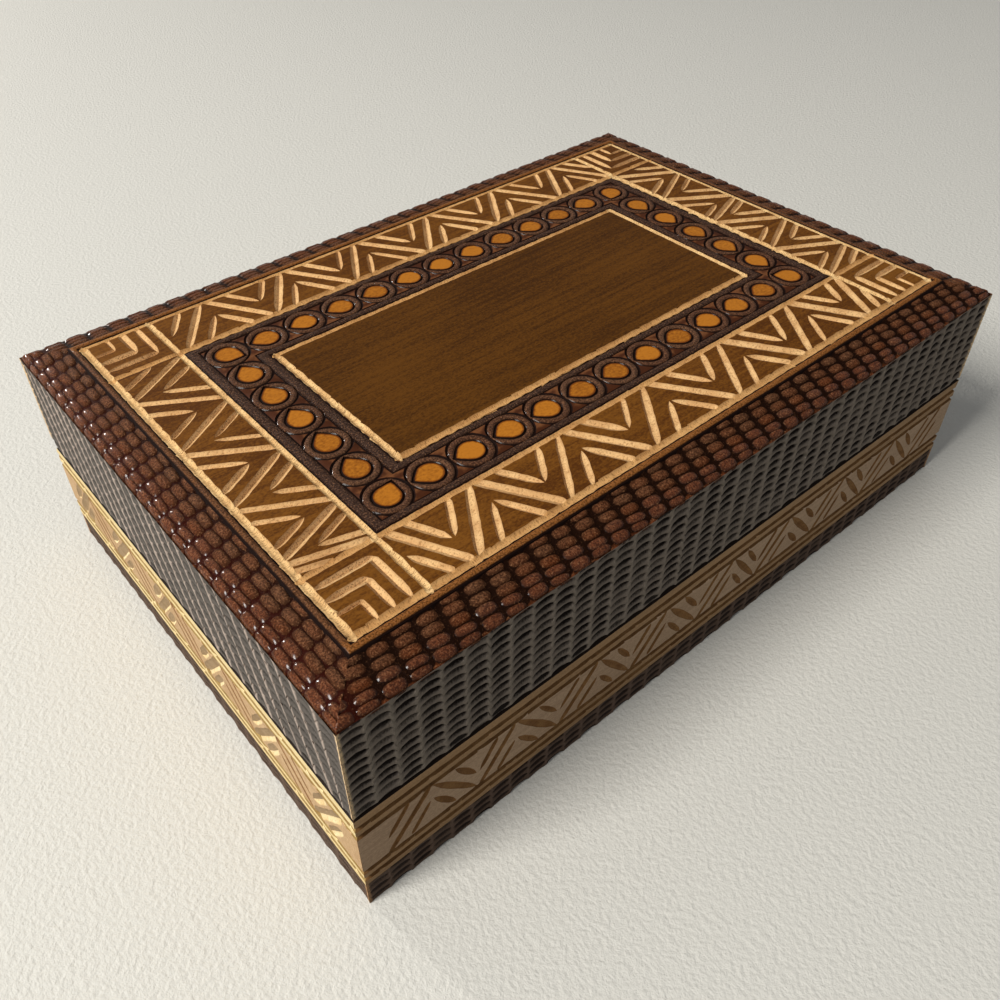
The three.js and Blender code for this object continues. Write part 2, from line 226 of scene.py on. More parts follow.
@dataclass
class Relief:
    """Relief and finish of a set of points.

    Attributes:
        height: Height above the uncut surface, mostly below nought.
        paint: Finish of each point.
        crest: How near a point is to the top of its form, from 0 to 1.
        tone: A chance value for each form, which its finish varies with.
    """

    height: Array
    paint: Array
    crest: Array
    tone: Array

    @classmethod
    def flat(cls, count: int, paint: Paint) -> "Relief":
        """Uncut surface in one finish."""
        ones = np.ones(count)
        return cls(0 * ones, np.full(count, int(paint)), ones.copy(), 0.5 * ones)

    def set(
        self, where: Array, paint: Paint, height: Values, crest: Values, tone: float = 0.5
    ) -> None:
        """Gives some of the points a finish and a relief.

        Args:
            where: Mask or indices of the points.
            paint: Their finish.
            height: Their height.
            crest: Their crest value.
            tone: Their tone.
        """
        self.paint[where] = int(paint)
        self.height[where] = height
        self.crest[where] = crest
        self.tone[where] = tone


class Form(Protocol):
    """A carved form: its outlines, and what it does to the points inside them."""

    def outlines(self) -> list[Array]:
        """Lines that the mesh keeps as edges. A closed one repeats its first point."""

    def carve(self, plan: Array, relief: Relief) -> None:
        """Cuts the form into the relief of some points."""


@dataclass(frozen=True)
class Cut:
    """A gouge cut from one point to another, pointed at both ends.

    Attributes:
        start: Where it begins.
        end: Where it ends.
        width: Full width at the middle.
        depth: Depth at the middle.
        points: Lengths of its pointed ends.
        lean: Where the bottom of a V cut lies, from -1 at its right edge to 1 at its left.
        rounded: A round bottom in place of a V.
        phase: Start of its unevenness.
        paint: Finish of the wood that it bares.
        left: Finish of the wall on its left, where the wood tore, painted darker as shade.
    """

    start: Pair
    end: Pair
    width: float
    depth: float
    points: Pair
    lean: float = 0.0
    rounded: bool = False
    phase: float = 0.0
    paint: Paint = Paint.BARE
    left: Paint | None = None

    STEP = 1.3
    POINT_STEPS = (0, 0.08, 0.25, 0.55)
    POINT_CURVE = 2.5
    ROUND_LINES = (-1, -0.78, -0.4, 0, 0.4, 0.78, 1)
    WOBBLE = 0.05
    ROUND_WOBBLE = 0.09
    LONG_WAVE = 1.9
    SHORT_WAVE = 4.3
    SHORT_SHARE = 0.6
    CREST_DEPTH = 1.2

    @property
    def length(self) -> float:
        """Distance from start to end."""
        return math.dist(self.start, self.end)

    @property
    def direction(self) -> Array:
        """Unit vector from start to end."""
        return (np.array(self.end) - np.array(self.start)) / self.length

    def half_width(self, along: Array) -> Array:
        """Half the width of the cut, which comes to its points in curves and wobbles a little.

        Args:
            along: Distances from its start.

        Returns:
            Half the width at each.
        """
        first, last = self.points
        ends = np.clip(np.minimum(along / first, (self.length - along) / last), 0, 1)
        short = np.sin(self.SHORT_WAVE * along + 2 * self.phase)
        wave = np.sin(self.LONG_WAVE * along + self.phase) + self.SHORT_SHARE * short
        wobble = self.ROUND_WOBBLE if self.rounded else self.WOBBLE
        return self.width / 2 * (1 - (1 - ends) ** self.POINT_CURVE) * (1 + wobble * wave)

    def outlines(self) -> list[Array]:
        """Both edges and the lines between them along the cut.

        Returns:
            A row of points for each line.
        """
        first, last = self.points
        near = np.array(self.POINT_STEPS)
        count = max(2, round((self.length - first - last) / self.STEP) + 1)
        middle = np.linspace(first, self.length - last, count)
        along = np.concatenate([first * near, middle, self.length - last * near[::-1]])
        shares = self.ROUND_LINES if self.rounded else (-1, self.lean, 1)
        direction = self.direction
        side = np.array([-direction[1], direction[0]])
        spine = np.array(self.start) + along[:, None] * direction
        half = self.half_width(along)[:, None]
        return [spine + share * half * side for share in shares]

    def carve(self, plan: Array, relief: Relief) -> None:
        """Lowers the points inside the cut and bares their wood.

        Args:
            plan: The points.
            relief: Their relief, which is changed.
        """
        direction = self.direction
        offset = plan - np.array(self.start)
        along = offset @ direction
        across = offset @ np.array([-direction[1], direction[0]])
        near = (along > 0) & (along < self.length) & (np.abs(across) < self.width)
        half = np.maximum(self.half_width(along[near]), TINY)
        share = across[near] / half
        if self.rounded:
            profile = 1 - share**2
        else:
            left_wall = (1 - share) / (1 - self.lean)
            right_wall = (share + 1) / (self.lean + 1)
            profile = np.where(share > self.lean, left_wall, right_wall)
        depth = self.depth * half / (self.width / 2) * profile
        inside = np.abs(share) < 1
        found = np.flatnonzero(near)[inside]
        depth, share = depth[inside], share[inside]
        relief.height[found] = np.minimum(relief.height[found], -depth)
        relief.crest[found] = 1 - depth / (self.CREST_DEPTH * self.depth)
        relief.tone[found] = 0.5 + 0.5 * share
        relief.paint[found] = int(self.paint)
        # Painted shade: the wall left of the bottom gets the darker finish.
        if self.left is not None:
            relief.paint[found[share > self.lean]] = int(self.left)


@dataclass(frozen=True)
class Ring:
    """A raised ring round a dot that comes to a point.

    Attributes:
        centre: Its middle.
        tip: Direction of the dot's point, in radians from X.
        tone: Its own chance value.
    """

    centre: Pair
    tip: float
    tone: float

    RADIUS = 4.5
    DOT = 2.55
    POINT = 3.75
    BLUNT = 3.5
    LINE = 0.38
    GROOVE = 0.42
    GROUND = 0.14
    RIM = 0.45
    STEPS = 30

    def reach(self, angle: Array, gap: float) -> Array:
        """Distance from the centre to the dot's outline, or to a line outside it.

        Args:
            angle: Angles from the dot's point.
            gap: How far outside the dot the line lies.

        Returns:
            The distance at each angle.
        """
        slope = math.asin(self.DOT / self.POINT)
        folded = np.abs(np.arctan2(np.sin(angle), np.cos(angle)))
        radius = self.DOT + gap
        wedge = radius / np.sin(np.minimum(folded + slope, math.pi / 2))
        return np.minimum(wedge, self.BLUNT + 2 * gap)

    def outlines(self) -> list[Array]:
        """Loops round the dot, over the ring's body and round its outer line.

        Returns:
            A closed row of points for each loop.
        """
        angle = np.linspace(-math.pi, math.pi, self.STEPS + 1)
        dot = self.reach(angle, 0)
        inner = np.minimum(self.reach(angle, self.LINE), self.RADIUS)
        radii = [dot, dot - self.RIM, np.full_like(dot, self.RADIUS + self.LINE)]
        radii += [inner + share * (self.RADIUS - inner) for share in BODY_LINES]
        turned = angle + self.tip
        unit = np.stack([np.cos(turned), np.sin(turned)], -1)
        return [np.array(self.centre) + radius[:, None] * unit for radius in radii]

    def carve(self, plan: Array, relief: Relief) -> None:
        """Raises the ring's body round its dot and sinks the lines beside it.

        Args:
            plan: The points.
            relief: Their relief, which is changed.
        """
        offset = plan - np.array(self.centre)
        distance = np.hypot(offset[:, 0], offset[:, 1])
        angle = np.arctan2(offset[:, 1], offset[:, 0]) - self.tip
        dot = self.reach(angle, 0)
        inner = np.minimum(self.reach(angle, self.LINE), self.RADIUS)
        outer = distance - self.RADIUS
        line = (outer >= 0) & (outer < self.LINE) & (relief.paint == Paint.TAN)
        rise = (self.GROOVE - self.GROUND) * outer[line] / self.LINE
        relief.set(line, Paint.BURNT, rise - self.GROOVE, 0)
        body = (distance >= inner) & (outer < 0)
        share = 2 * (distance - inner)[body] / np.maximum(self.RADIUS - inner[body], TINY) - 1
        crest = np.sqrt(np.clip(1 - share**2, 0, 1))
        relief.set(body, Paint.RING, -self.GROOVE * (1 - crest), crest, self.tone)
        between = (distance < inner) & (distance >= dot)
        fall = np.clip((distance - dot)[between] / self.LINE, 0, 1)
        height = -self.GROUND - (self.GROOVE - self.GROUND) * fall
        relief.set(between, Paint.BURNT, height, 0)
        inside = distance < dot
        crest = np.clip((dot - distance)[inside] / self.RIM, 0, 1)
        relief.set(inside, Paint.DOT, -self.GROUND, crest, self.tone)


@dataclass(frozen=True)
class Bead:
    """A raised bead that runs round a rectangle, with a dark line on either side.

    Attributes:
        inner: Half length and half width of its inner edge.
        outer: Half length and half width of its outer edge.
        paint: Finish of the bead.
    """

    inner: Pair
    outer: Pair
    paint: Paint = Paint.BEAD

    LINE = 0.22
    GROOVE = 0.32
    STEP = 3.0

    def outlines(self) -> list[Array]:
        """Rectangles along the bead and its lines.

        Returns:
            A closed row of points for each rectangle.
        """
        inner, outer = np.array(self.inner), np.array(self.outer)
        halves = [inner + share * (outer - inner) for share in BODY_LINES]
        halves += [inner - self.LINE, outer + self.LINE]
        return [rectangle(x, y, self.STEP) for x, y in halves]

    def carve(self, plan: Array, relief: Relief) -> None:
        """Raises the bead between its two lines.

        Args:
            plan: The points.
            relief: Their relief, which is changed.
        """
        place = np.abs(plan)
        inner, outer = np.array(self.inner), np.array(self.outer)
        share = ((place - inner) / (outer - inner)).max(-1)
        beyond = (place - outer).max(-1)
        within = (inner - place).min(-1)
        line = (beyond < self.LINE) & (within < self.LINE)
        relief.set(line, Paint.BURNT, -self.GROOVE, 0)
        bead = (share > 0) & (beyond < 0)
        crest = np.sqrt(np.clip(1 - (2 * share[bead] - 1) ** 2, 0, 1))
        relief.set(bead, self.paint, -self.GROOVE * (1 - crest), crest)


def rectangle(half_x: float, half_y: float, step: float) -> Array:
    """Points round a rectangle about the middle.

    Args:
        half_x: Half its length.
        half_y: Half its width.
        step: The most that one point lies from the next.

    Returns:
        The points, of which the last repeats the first.
    """
    corners = np.array([(-1, -1), (1, -1), (1, 1), (-1, 1), (-1, -1)]) * (half_x, half_y)
    points = []
    for start, end in zip(corners, corners[1:]):
        count = max(1, math.ceil(np.abs(end - start).max() / step))
        points += [start + (end - start) * i / count for i in range(count)]
    return np.array([*points, corners[-1]])


@dataclass(frozen=True)
class Pebble:
    """A domed pebble of the lid's border, with the shape of a rounded rectangle.

    Attributes:
        side: The side that it lies along.
        middle: Distance along the side, and inset from its face.
        half: Half its size along the side and across it.
        turn: Its own small turn, in radians.
        tone: Its own chance value.
    """

    sizes: BoxSizes
    side: Side
    middle: Pair
    half: Pair
    turn: float
    tone: float

    POWER = 3.3
    LEAF_POWER = 2.8
    DOME = 3.0
    GROOVE = 0.55
    SUNK = 0.16
    NEAR = 0.15
    FAR = 8.15
    OVERLAP = 0.1
    BEYOND = 2.6
    CLIP_BLEND = 0.32
    GLOSSY = 3.4
    LEAST_AREA = 1.1
    REACH = 1.5
    LEVELS = ((1.0, 18), (0.88, 14), (0.6, 8))

    @property
    def paint(self) -> Paint:
        """Finish of its dome, which is glossier near the lid's edge."""
        return Paint.PEBBLE_OUTER if self.middle[1] < self.GLOSSY else Paint.PEBBLE

    @property
    def squareness(self) -> float:
        """How square its outline is. The front's pebbles are the most leaf-shaped."""
        return self.LEAF_POWER if self.side is Side.FRONT else self.POWER

    def margin(self, along: Array, inset: Array) -> Array:
        """Distance inside the border's own wedge, which the pebble is trimmed to.

        Args:
            along: Distance along the side.
            inset: Distance in from its face.

        Returns:
            The distance at each place, which is below nought outside the wedge.
        """
        end = self.side.half_length(self.sizes) - np.abs(along)
        mitre = (end - inset) / math.sqrt(2) + self.OVERLAP
        return np.min([inset - self.NEAR, self.FAR - inset, mitre, end - self.NEAR], axis=0)

    def outlines(self) -> list[Array]:
        """Loops from the foot of the dome to near its top, trimmed to the border.

        Returns:
            A closed row of points for each loop of which something is left.
        """
        loops = []
        for level, count in self.LEVELS:
            angle = np.linspace(0, 2 * math.pi, count, endpoint=False)
            bend = 2 / self.squareness
            local = np.stack([power(np.cos(angle), bend), power(np.sin(angle), bend)], -1)
            local *= level * np.array(self.half)
            cosine, sine = math.cos(self.turn), math.sin(self.turn)
            turned = local @ np.array([[cosine, sine], [-sine, cosine]]) + self.middle
            loop = self.trimmed(turned, (1 - level) * self.CLIP_BLEND)
            if len(loop) > 2:
                plan = self.side.place(self.sizes, loop[:, 0], loop[:, 1])
                loops.append(np.vstack([plan, plan[:1]]))
        return loops

    def worth_cutting(self) -> bool:
        """Looks whether it belongs to its side's wedge and enough of it is left there.

        Returns:
            True for a pebble that is cut.
        """
        along, inset = self.middle
        if self.side.half_length(self.sizes) - abs(along) < inset - self.BEYOND:
            return False
        corners = self.half * np.array([(-1, -1), (1, -1), (1, 1), (-1, 1)]) + self.middle
        loop = self.trimmed(corners, 0)
        if len(loop) < 3:
            return False
        x, y = loop[:, 0], loop[:, 1]
        area = abs(x @ np.roll(y, -1) - y @ np.roll(x, -1)) / 2
        return area > self.LEAST_AREA

    def trimmed(self, loop: Array, further: float) -> Array:
        """Trims a loop to the border's wedge.

        Args:
            loop: Places on the side.
            further: How far the wedge is drawn in.

        Returns:
            The rest of the loop, which may be empty.
        """
        half = self.side.half_length(self.sizes)
        gap = (further - self.OVERLAP) * math.sqrt(2)
        planes = (
            (0, 1, self.NEAR + further),
            (0, -1, -self.FAR + further),
            (1, 0, self.NEAR + further - half),
            (-1, 0, self.NEAR + further - half),
            (1, -1, gap - half),
            (-1, -1, gap - half),
        )
        for a, b, least in planes:
            loop = clip_polygon(loop, loop @ np.array([a, b]) - least)
        return loop

    def carve(self, plan: Array, relief: Relief) -> None:
        """Raises the pebble's dome out of the border's groove.

        Args:
            plan: The points.
            relief: Their relief, which is changed.
        """
        along, inset = self.side.unplace(self.sizes, plan)
        distance = np.hypot(along - self.middle[0], inset - self.middle[1])
        near = distance < self.REACH * self.half[0]
        along, inset = along[near], inset[near]
        x, y = along - self.middle[0], inset - self.middle[1]
        cosine, sine = math.cos(self.turn), math.sin(self.turn)
        a = np.abs(cosine * x + sine * y) / self.half[0]
        b = np.abs(cosine * y - sine * x) / self.half[1]
        square = self.squareness
        share = (a**square + b**square) ** (1 / square)
        share = np.maximum(share, 1 - self.margin(along, inset) / self.CLIP_BLEND)
        sunk = self.SUNK * self.tone
        height = -sunk - (self.GROOVE - sunk) * share**self.DOME
        found = np.flatnonzero(near)
        higher = (share < 1) & (height > relief.height[found])
        crest = 1 - share[higher] ** self.DOME
        relief.set(found[higher], self.paint, height[higher], crest, self.tone)


def power(value: Array, exponent: float) -> Array:
    """Power of the size of a number, with the number's sign."""
    return np.sign(value) * np.abs(value) ** exponent


def clip_polygon(loop: Array, side: Array) -> Array:
    """Cuts a polygon where a value at its points passes from positive to negative.

    Args:
        loop: Points of an open loop.
        side: The value at each point, which is linear between them.

    Returns:
        The loop of the positive part, which may be empty.
    """
    kept = []
    for i in range(len(loop)):
        j = (i + 1) % len(loop)
        if side[i] > 0:
            kept.append(loop[i])
        if (side[i] > 0) != (side[j] > 0):
            kept.append(loop[i] + (loop[j] - loop[i]) * side[i] / (side[i] - side[j]))
    return np.array(kept).reshape(-1, 2)


def inside_loop(loop: Array, points: Array) -> Array:
    """Tells which points lie inside a loop, by counting the edges to their right.

    Args:
        loop: Points of the loop, not repeating the first.
        points: The points to test.

    Returns:
        True for each point inside.
    """
    inside = np.zeros(len(points), bool)
    x, y = points[:, 0], points[:, 1]
    for (x0, y0), (x1, y1) in zip(loop, np.roll(loop, -1, 0)):
        if y0 != y1:
            level = (y >= min(y0, y1)) & (y < max(y0, y1))
            crossing = x0 + (y - y0) * (x1 - x0) / (y1 - y0)
            inside ^= level & (x < crossing)
    return inside


def inside_half(half: float, points: Array) -> Array:
    """Tells which points lie less than half a length from the middle along X."""
    return np.abs(points[:, 0]) < half


@dataclass
class CarvedFace:
    """A triangulated plan, with the finish of each triangle and the relief of the points."""

    points: Array
    faces: Array
    paints: Array
    relief: Relief
    on_boundary: Array


@dataclass
class CarvedPlan:
    """A flat plan of carved forms, triangulated along all their outlines."""

    forms: list[Form]

    EPSILON = 1e-4

    def triangles(
        self, boundary: Array, inside: Callable[[Array], Array]
    ) -> tuple[Array, Array, Array]:
        """Triangulates the plan.

        Args:
            boundary: Loop of points round the plan, not repeating the first.
            inside: Tells which points lie on the plan.

        Returns:
            The points, the triangles, and for each point whether it is one of the boundary's.
        """
        points = [tuple(p) for p in boundary]
        edges = [(i, (i + 1) % len(boundary)) for i in range(len(boundary))]
        for form in self.forms:
            for line in form.outlines():
                first = len(points)
                points += [tuple(p) for p in line]
                edges += [(first + i, first + i + 1) for i in range(len(line) - 1)]
        found = delaunay_2d_cdt([Vector(p) for p in points], edges, [], 0, self.EPSILON)
        plan = np.array([tuple(p) for p in found[0]])
        faces = np.array(found[2])
        origins = np.array([min(origin, default=len(points)) for origin in found[3]])
        return plan, faces[inside(plan[faces].mean(1))], origins < len(boundary)

    def carved(self, relief: Relief, plan: Array) -> Relief:
        """Cuts all the forms, in their order, into the relief of some points.

        Args:
            relief: The relief of the uncut points, which is changed.
            plan: The points.

        Returns:
            The relief.
        """
        for form in self.forms:
            form.carve(plan, relief)
        return relief

    def face(
        self, boundary: Array, ground: Callable[[Array], Relief], inside: Callable[[Array], Array]
    ) -> CarvedFace:
        """Triangulates the plan and cuts its forms.

        Args:
            boundary: Loop of points round the plan, not repeating the first.
            ground: Gives the relief of points before the forms are cut.
            inside: Tells which points lie on the plan.

        Returns:
            The carved face.
        """
        points, faces, on_boundary = self.triangles(boundary, inside)
        middles = points[faces].mean(1)
        relief = self.carved(ground(points), points)
        paints = self.carved(ground(middles), middles).paint
        return CarvedFace(points, faces, paints, relief, on_boundary)


# Meshes


class Skin:
    """Faces of one piece, gathered patch by patch in millimetres and then made into one mesh."""

    WELD = 0.002
    SHARP = math.radians(48)

    def __init__(self) -> None:
        """Starts without any faces."""
        self.points: list[Array] = []
        self.faces: list[tuple[int, ...]] = []
        self.paints: list[int] = []
        self.crests: list[Array] = []
        self.tones: list[Array] = []
        self.count = 0

    def add(
        self,
        points: Array,
        faces: Array | list[tuple[int, ...]],
        paint: Paint | Array,
        crest: Values = 1.0,
        tone: Values = 0.5,
    ) -> None:
        """Adds a patch.

        Args:
            points: Its points.
            faces: Its faces, as indices of those points.
            paint: The finish of all faces, or one for each.
            crest: The crest value of all points, or one for each.
            tone: The tone of all points, or one for each.
        """
        self.points.append(points)
        self.faces += [tuple(int(i) + self.count for i in face) for face in faces]
        self.paints += [int(p) for p in np.broadcast_to(paint, len(faces))]
        self.crests.append(np.broadcast_to(crest, len(points)))
        self.tones.append(np.broadcast_to(tone, len(points)))
        self.count += len(points)

    def build(self, name: str, finishes: dict[Paint, Material]) -> Piece:
        """Welds the patches into one closed mesh and gives each face its finish.

        Args:
            name: Name of the new piece.
            finishes: Material of each finish.

        Returns:
            The new piece.
        """
        used = sorted(set(self.paints))
        mesh = bpy.data.meshes.new(name)
        mesh.from_pydata(np.concatenate(self.points).tolist(), [], self.faces)
        for paint in used:
            mesh.materials.append(finishes[Paint(paint)])
        slots = np.searchsorted(used, self.paints).astype(np.int32)
        mesh.polygons.foreach_set("material_index", slots)
        for label, values in (("crest", self.crests), ("tone", self.tones)):
            attribute = mesh.attributes.new(label, "FLOAT", "POINT")
            attribute.data.foreach_set("value", np.concatenate(values).astype(np.float32))
        self.weld(mesh)
        mesh.transform(Matrix.Scale(MM, 4))
        return placed(name, mesh)

    def weld(self, mesh: bpy.types.Mesh) -> None:
        """Joins the patches where they touch, and marks the edges that stay crisp.

        Args:
            mesh: The mesh of all patches, which is changed.
        """
        work = bmesh.new()
        work.from_mesh(mesh)
        bmesh.ops.remove_doubles(work, verts=work.verts, dist=self.WELD)
        bmesh.ops.recalc_face_normals(work, faces=work.faces)
        for face in work.faces:
            face.smooth = True
        for edge in work.edges:
            kinds = {face.material_index for face in edge.link_faces}
            edge.smooth = len(kinds) == 1 and edge.calc_face_angle(0) < self.SHARP
        work.to_mesh(mesh)
        work.free()


def placed(name: str, data: bpy.types.ID) -> Piece:
    """Puts a new object into the scene.

    Args:
        name: Its name.
        data: Its mesh, lamp or camera.

    Returns:
        The object.
    """
    thing = bpy.data.objects.new(name, data)
    bpy.context.scene.collection.objects.link(thing)
    return thing


def grid_faces(rows: int, columns: int) -> Array:
    """Quads of a grid whose points are counted row by row."""
    first = (np.arange(rows - 1)[:, None] * columns + np.arange(columns - 1)).ravel()
    return np.stack([first, first + columns, first + columns + 1, first + 1], -1)


def cut_away(piece: Piece, cutters: list[Piece]) -> None:
    """Cuts solids out of a piece.

    Args:
        piece: The piece.
        cutters: The solids, which are removed after it.
    """
    for cutter in cutters:
        modifier = piece.modifiers.new("cut", "BOOLEAN")
        modifier.operation = "DIFFERENCE"
        modifier.solver = "EXACT"
        modifier.object = cutter
    shown = piece.evaluated_get(bpy.context.evaluated_depsgraph_get())
    mesh = bpy.data.meshes.new_from_object(shown)
    piece.modifiers.clear()
    piece.data = mesh
    for cutter in cutters:
        bpy.data.objects.remove(cutter)


def prism(name: str, profile: list[Pair], x0: float, x1: float, slots: list[Material]) -> Piece:
    """A solid that runs along X.

    Args:
        name: Name of the object.
        profile: Its section, as Y and Z in millimetres.
        x0: Where it begins.
        x1: Where it ends.
        slots: Materials, the last of which its faces have.

    Returns:
        The new object.
    """
    count = len(profile)
    points = [(x * MM, y * MM, z * MM) for x in (x0, x1) for y, z in profile]
    faces = [tuple(range(count)), tuple(range(2 * count - 1, count - 1, -1))]
    faces += [(i, i + count, (i + 1) % count + count, (i + 1) % count) for i in range(count)]
    mesh = bpy.data.meshes.new(name)
    mesh.from_pydata(points, [], faces)
    for material in slots:
        mesh.materials.append(material)
    work = bmesh.new()
    work.from_mesh(mesh)
    bmesh.ops.recalc_face_normals(work, faces=work.faces)
    for face in work.faces:
        face.material_index = max(0, len(slots) - 1)
    work.to_mesh(mesh)
    work.free()
    return placed(name, mesh)


# Finishes


def stain(colour: Colour) -> tuple[float, float, float, float]:
    """Turns a colour as seen into what a shader takes.

    Args:
        colour: Red, green and blue, from 0 to 255.

    Returns:
        The same in linear shares, and full opacity.
    """
    shares = [value / 255 for value in colour]
    linear = [s / 12.92 if s <= 0.04045 else ((s + 0.055) / 1.055) ** 2.4 for s in shares]
    return (*linear, 1.0)


class Shade:
    """The nodes of one material, laid out step by step. Places are in millimetres."""

    def __init__(self, name: str) -> None:
        """Starts a material.

        Args:
            name: Its name.
        """
        self.material = bpy.data.materials.new(name)
        self.material.use_nodes = True
        self.nodes = self.material.node_tree.nodes
        self.links = self.material.node_tree.links
        self.surface = self.nodes["Principled BSDF"]
        coordinates = self.nodes.new("ShaderNodeTexCoord")
        self.place = self.stretched(coordinates.outputs["Object"], (1 / MM,) * 3)

    def stretched(self, vector: Socket, factors: Triple) -> Socket:
        """Multiplies a place.

        Args:
            vector: The place.
            factors: What each of its three numbers is multiplied by.

        Returns:
            The new place.
        """
        node = self.nodes.new("ShaderNodeVectorMath")
        node.operation = "MULTIPLY"
        self.links.new(vector, node.inputs[0])
        node.inputs[1].default_value = factors
        return node.outputs[0]

    def noise(
        self, grain: float, stretch: Triple = (1, 1, 1), detail: float = 3, rough: float = 0.55
    ) -> Socket:
        """Cloudy values round a half.

        Args:
            grain: Size of the clouds in millimetres.
            stretch: How much finer they are along each axis.
            detail: How many finer layers they have.
            rough: How strong the finer layers are.

        Returns:
            The values.
        """
        node = self.nodes.new("ShaderNodeTexNoise")
        self.links.new(self.stretched(self.place, stretch), node.inputs["Vector"])
        node.inputs["Scale"].default_value = 1 / grain
        node.inputs["Detail"].default_value = detail
        node.inputs["Roughness"].default_value = rough
        return node.outputs["Fac"]

    def attribute(self, name: str) -> Socket:
        """A value that the mesh carries at its points.

        Args:
            name: The value's name.

        Returns:
            The value.
        """
        node = self.nodes.new("ShaderNodeAttribute")
        node.attribute_name = name
        return node.outputs["Fac"]

    def axis(self, letter: str) -> Socket:
        """One coordinate of the place, in millimetres.

        Args:
            letter: X, Y or Z.

        Returns:
            The coordinate.
        """
        node = self.nodes.new("ShaderNodeSeparateXYZ")
        self.links.new(self.place, node.inputs[0])
        return node.outputs[letter]

    def maths(
        self, operation: str, first: Socket, second: Socket | float = 0.0, clamp: bool = False
    ) -> Socket:
        """Works out one new value.

        Args:
            operation: What is done, such as MAXIMUM.
            first: The first value.
            second: The second value.
            clamp: Whether the result is held between 0 and 1.

        Returns:
            The result.
        """
        node = self.nodes.new("ShaderNodeMath")
        node.operation = operation
        node.use_clamp = clamp
        for socket, value in zip(node.inputs, (first, second)):
            self.feed(socket, value)
        return node.outputs[0]

    def times(self, first: Socket, second: Socket | float) -> Socket:
        """The product of two values."""
        return self.maths("MULTIPLY", first, second)

    def plus(self, first: Socket, second: Socket | float, clamp: bool = False) -> Socket:
        """The sum of two values, held between 0 and 1 if asked."""
        return self.maths("ADD", first, second, clamp)

    def between(self, value: Socket, low: float, high: float) -> Socket:
        """Rises smoothly from 0 to 1.

        Args:
            value: The value that it follows.
            low: Where it starts to rise.
            high: Where it has risen, which may be below the start.

        Returns:
            The share.
        """
        node = self.nodes.new("ShaderNodeMapRange")
        node.interpolation_type = "SMOOTHSTEP"
        self.links.new(value, node.inputs["Value"])
        node.inputs["From Min"].default_value = low
        node.inputs["From Max"].default_value = high
        return node.outputs["Result"]

    def mix(self, share: Socket | float, first: Socket | Colour, second: Socket | Colour) -> Socket:
        """Mixes two colours.

        Args:
            share: How much of the second there is, from 0 to 1.
            first: The first colour.
            second: The second colour.

        Returns:
            The mixture.
        """
        node = self.nodes.new("ShaderNodeMix")
        node.data_type = "RGBA"
        self.feed(node.inputs[0], share)
        for socket, value in zip(node.inputs[6:8], (first, second)):
            self.feed(socket, stain(value) if isinstance(value, tuple) else value)
        return node.outputs[2]

    def feed(self, socket: Socket, value: Socket | float | tuple[float, ...]) -> None:
        """Links a socket, or sets it to a plain value.

        Args:
            socket: The socket.
            value: What it gets.
        """
        if isinstance(value, bpy.types.NodeSocket):
            self.links.new(value, socket)
        else:
            socket.default_value = value

    def bump(self, height: Socket, depth: float) -> None:
        """Roughens the surface.

        Args:
            height: Height of the surface, from 0 to 1.
            depth: What its full range is in millimetres.
        """
        node = self.nodes.new("ShaderNodeBump")
        node.inputs["Strength"].default_value = 1.0
        node.inputs["Distance"].default_value = depth * MM
        self.links.new(height, node.inputs["Height"])
        self.links.new(node.outputs["Normal"], self.surface.inputs["Normal"])

    def finish(self, colour: Socket, roughness: Socket | float, gloss: float = 0.5) -> Material:
        """Joins everything to the surface.

        Args:
            colour: Its colour.
            roughness: Its roughness.
            gloss: Strength of its reflections.

        Returns:
            The material.
        """
        self.feed(self.surface.inputs["Base Color"], colour)
        self.feed(self.surface.inputs["Roughness"], roughness)
        self.surface.inputs["Specular IOR Level"].default_value = gloss
        return self.material


class Finish(Protocol):
    """A finish of the box's wood or brass."""

    name: str

    def build(self) -> Material:
        """Makes the material."""


@dataclass(frozen=True)
class StainedWood:
    """Planed limewood under brown stain, with its fine grain along X."""

    name: str
    light: Colour
    dark: Colour
    roughness: float

    GRAIN = (0.035, 1, 1)

    def build(self) -> Material:
        """Makes the material.

        Returns:
            The material.
        """
        shade = Shade(self.name)
        streaks = shade.noise(0.9, self.GRAIN, 5, 0.62)
        clouds = shade.noise(26, (0.5, 1, 1), 2)
        specks = shade.noise(0.32, (0.6, 1, 1), 2)
        share = shade.plus(shade.times(streaks, 0.9), specks)
        share = shade.plus(share, shade.times(clouds, 0.8))
        colour = shade.mix(shade.between(share, 1.05, 1.65), self.dark, self.light)
        shade.bump(streaks, 0.05)
        roughness = shade.plus(shade.times(specks, 0.2), self.roughness - 0.1)
        return shade.finish(colour, roughness, 0.14)


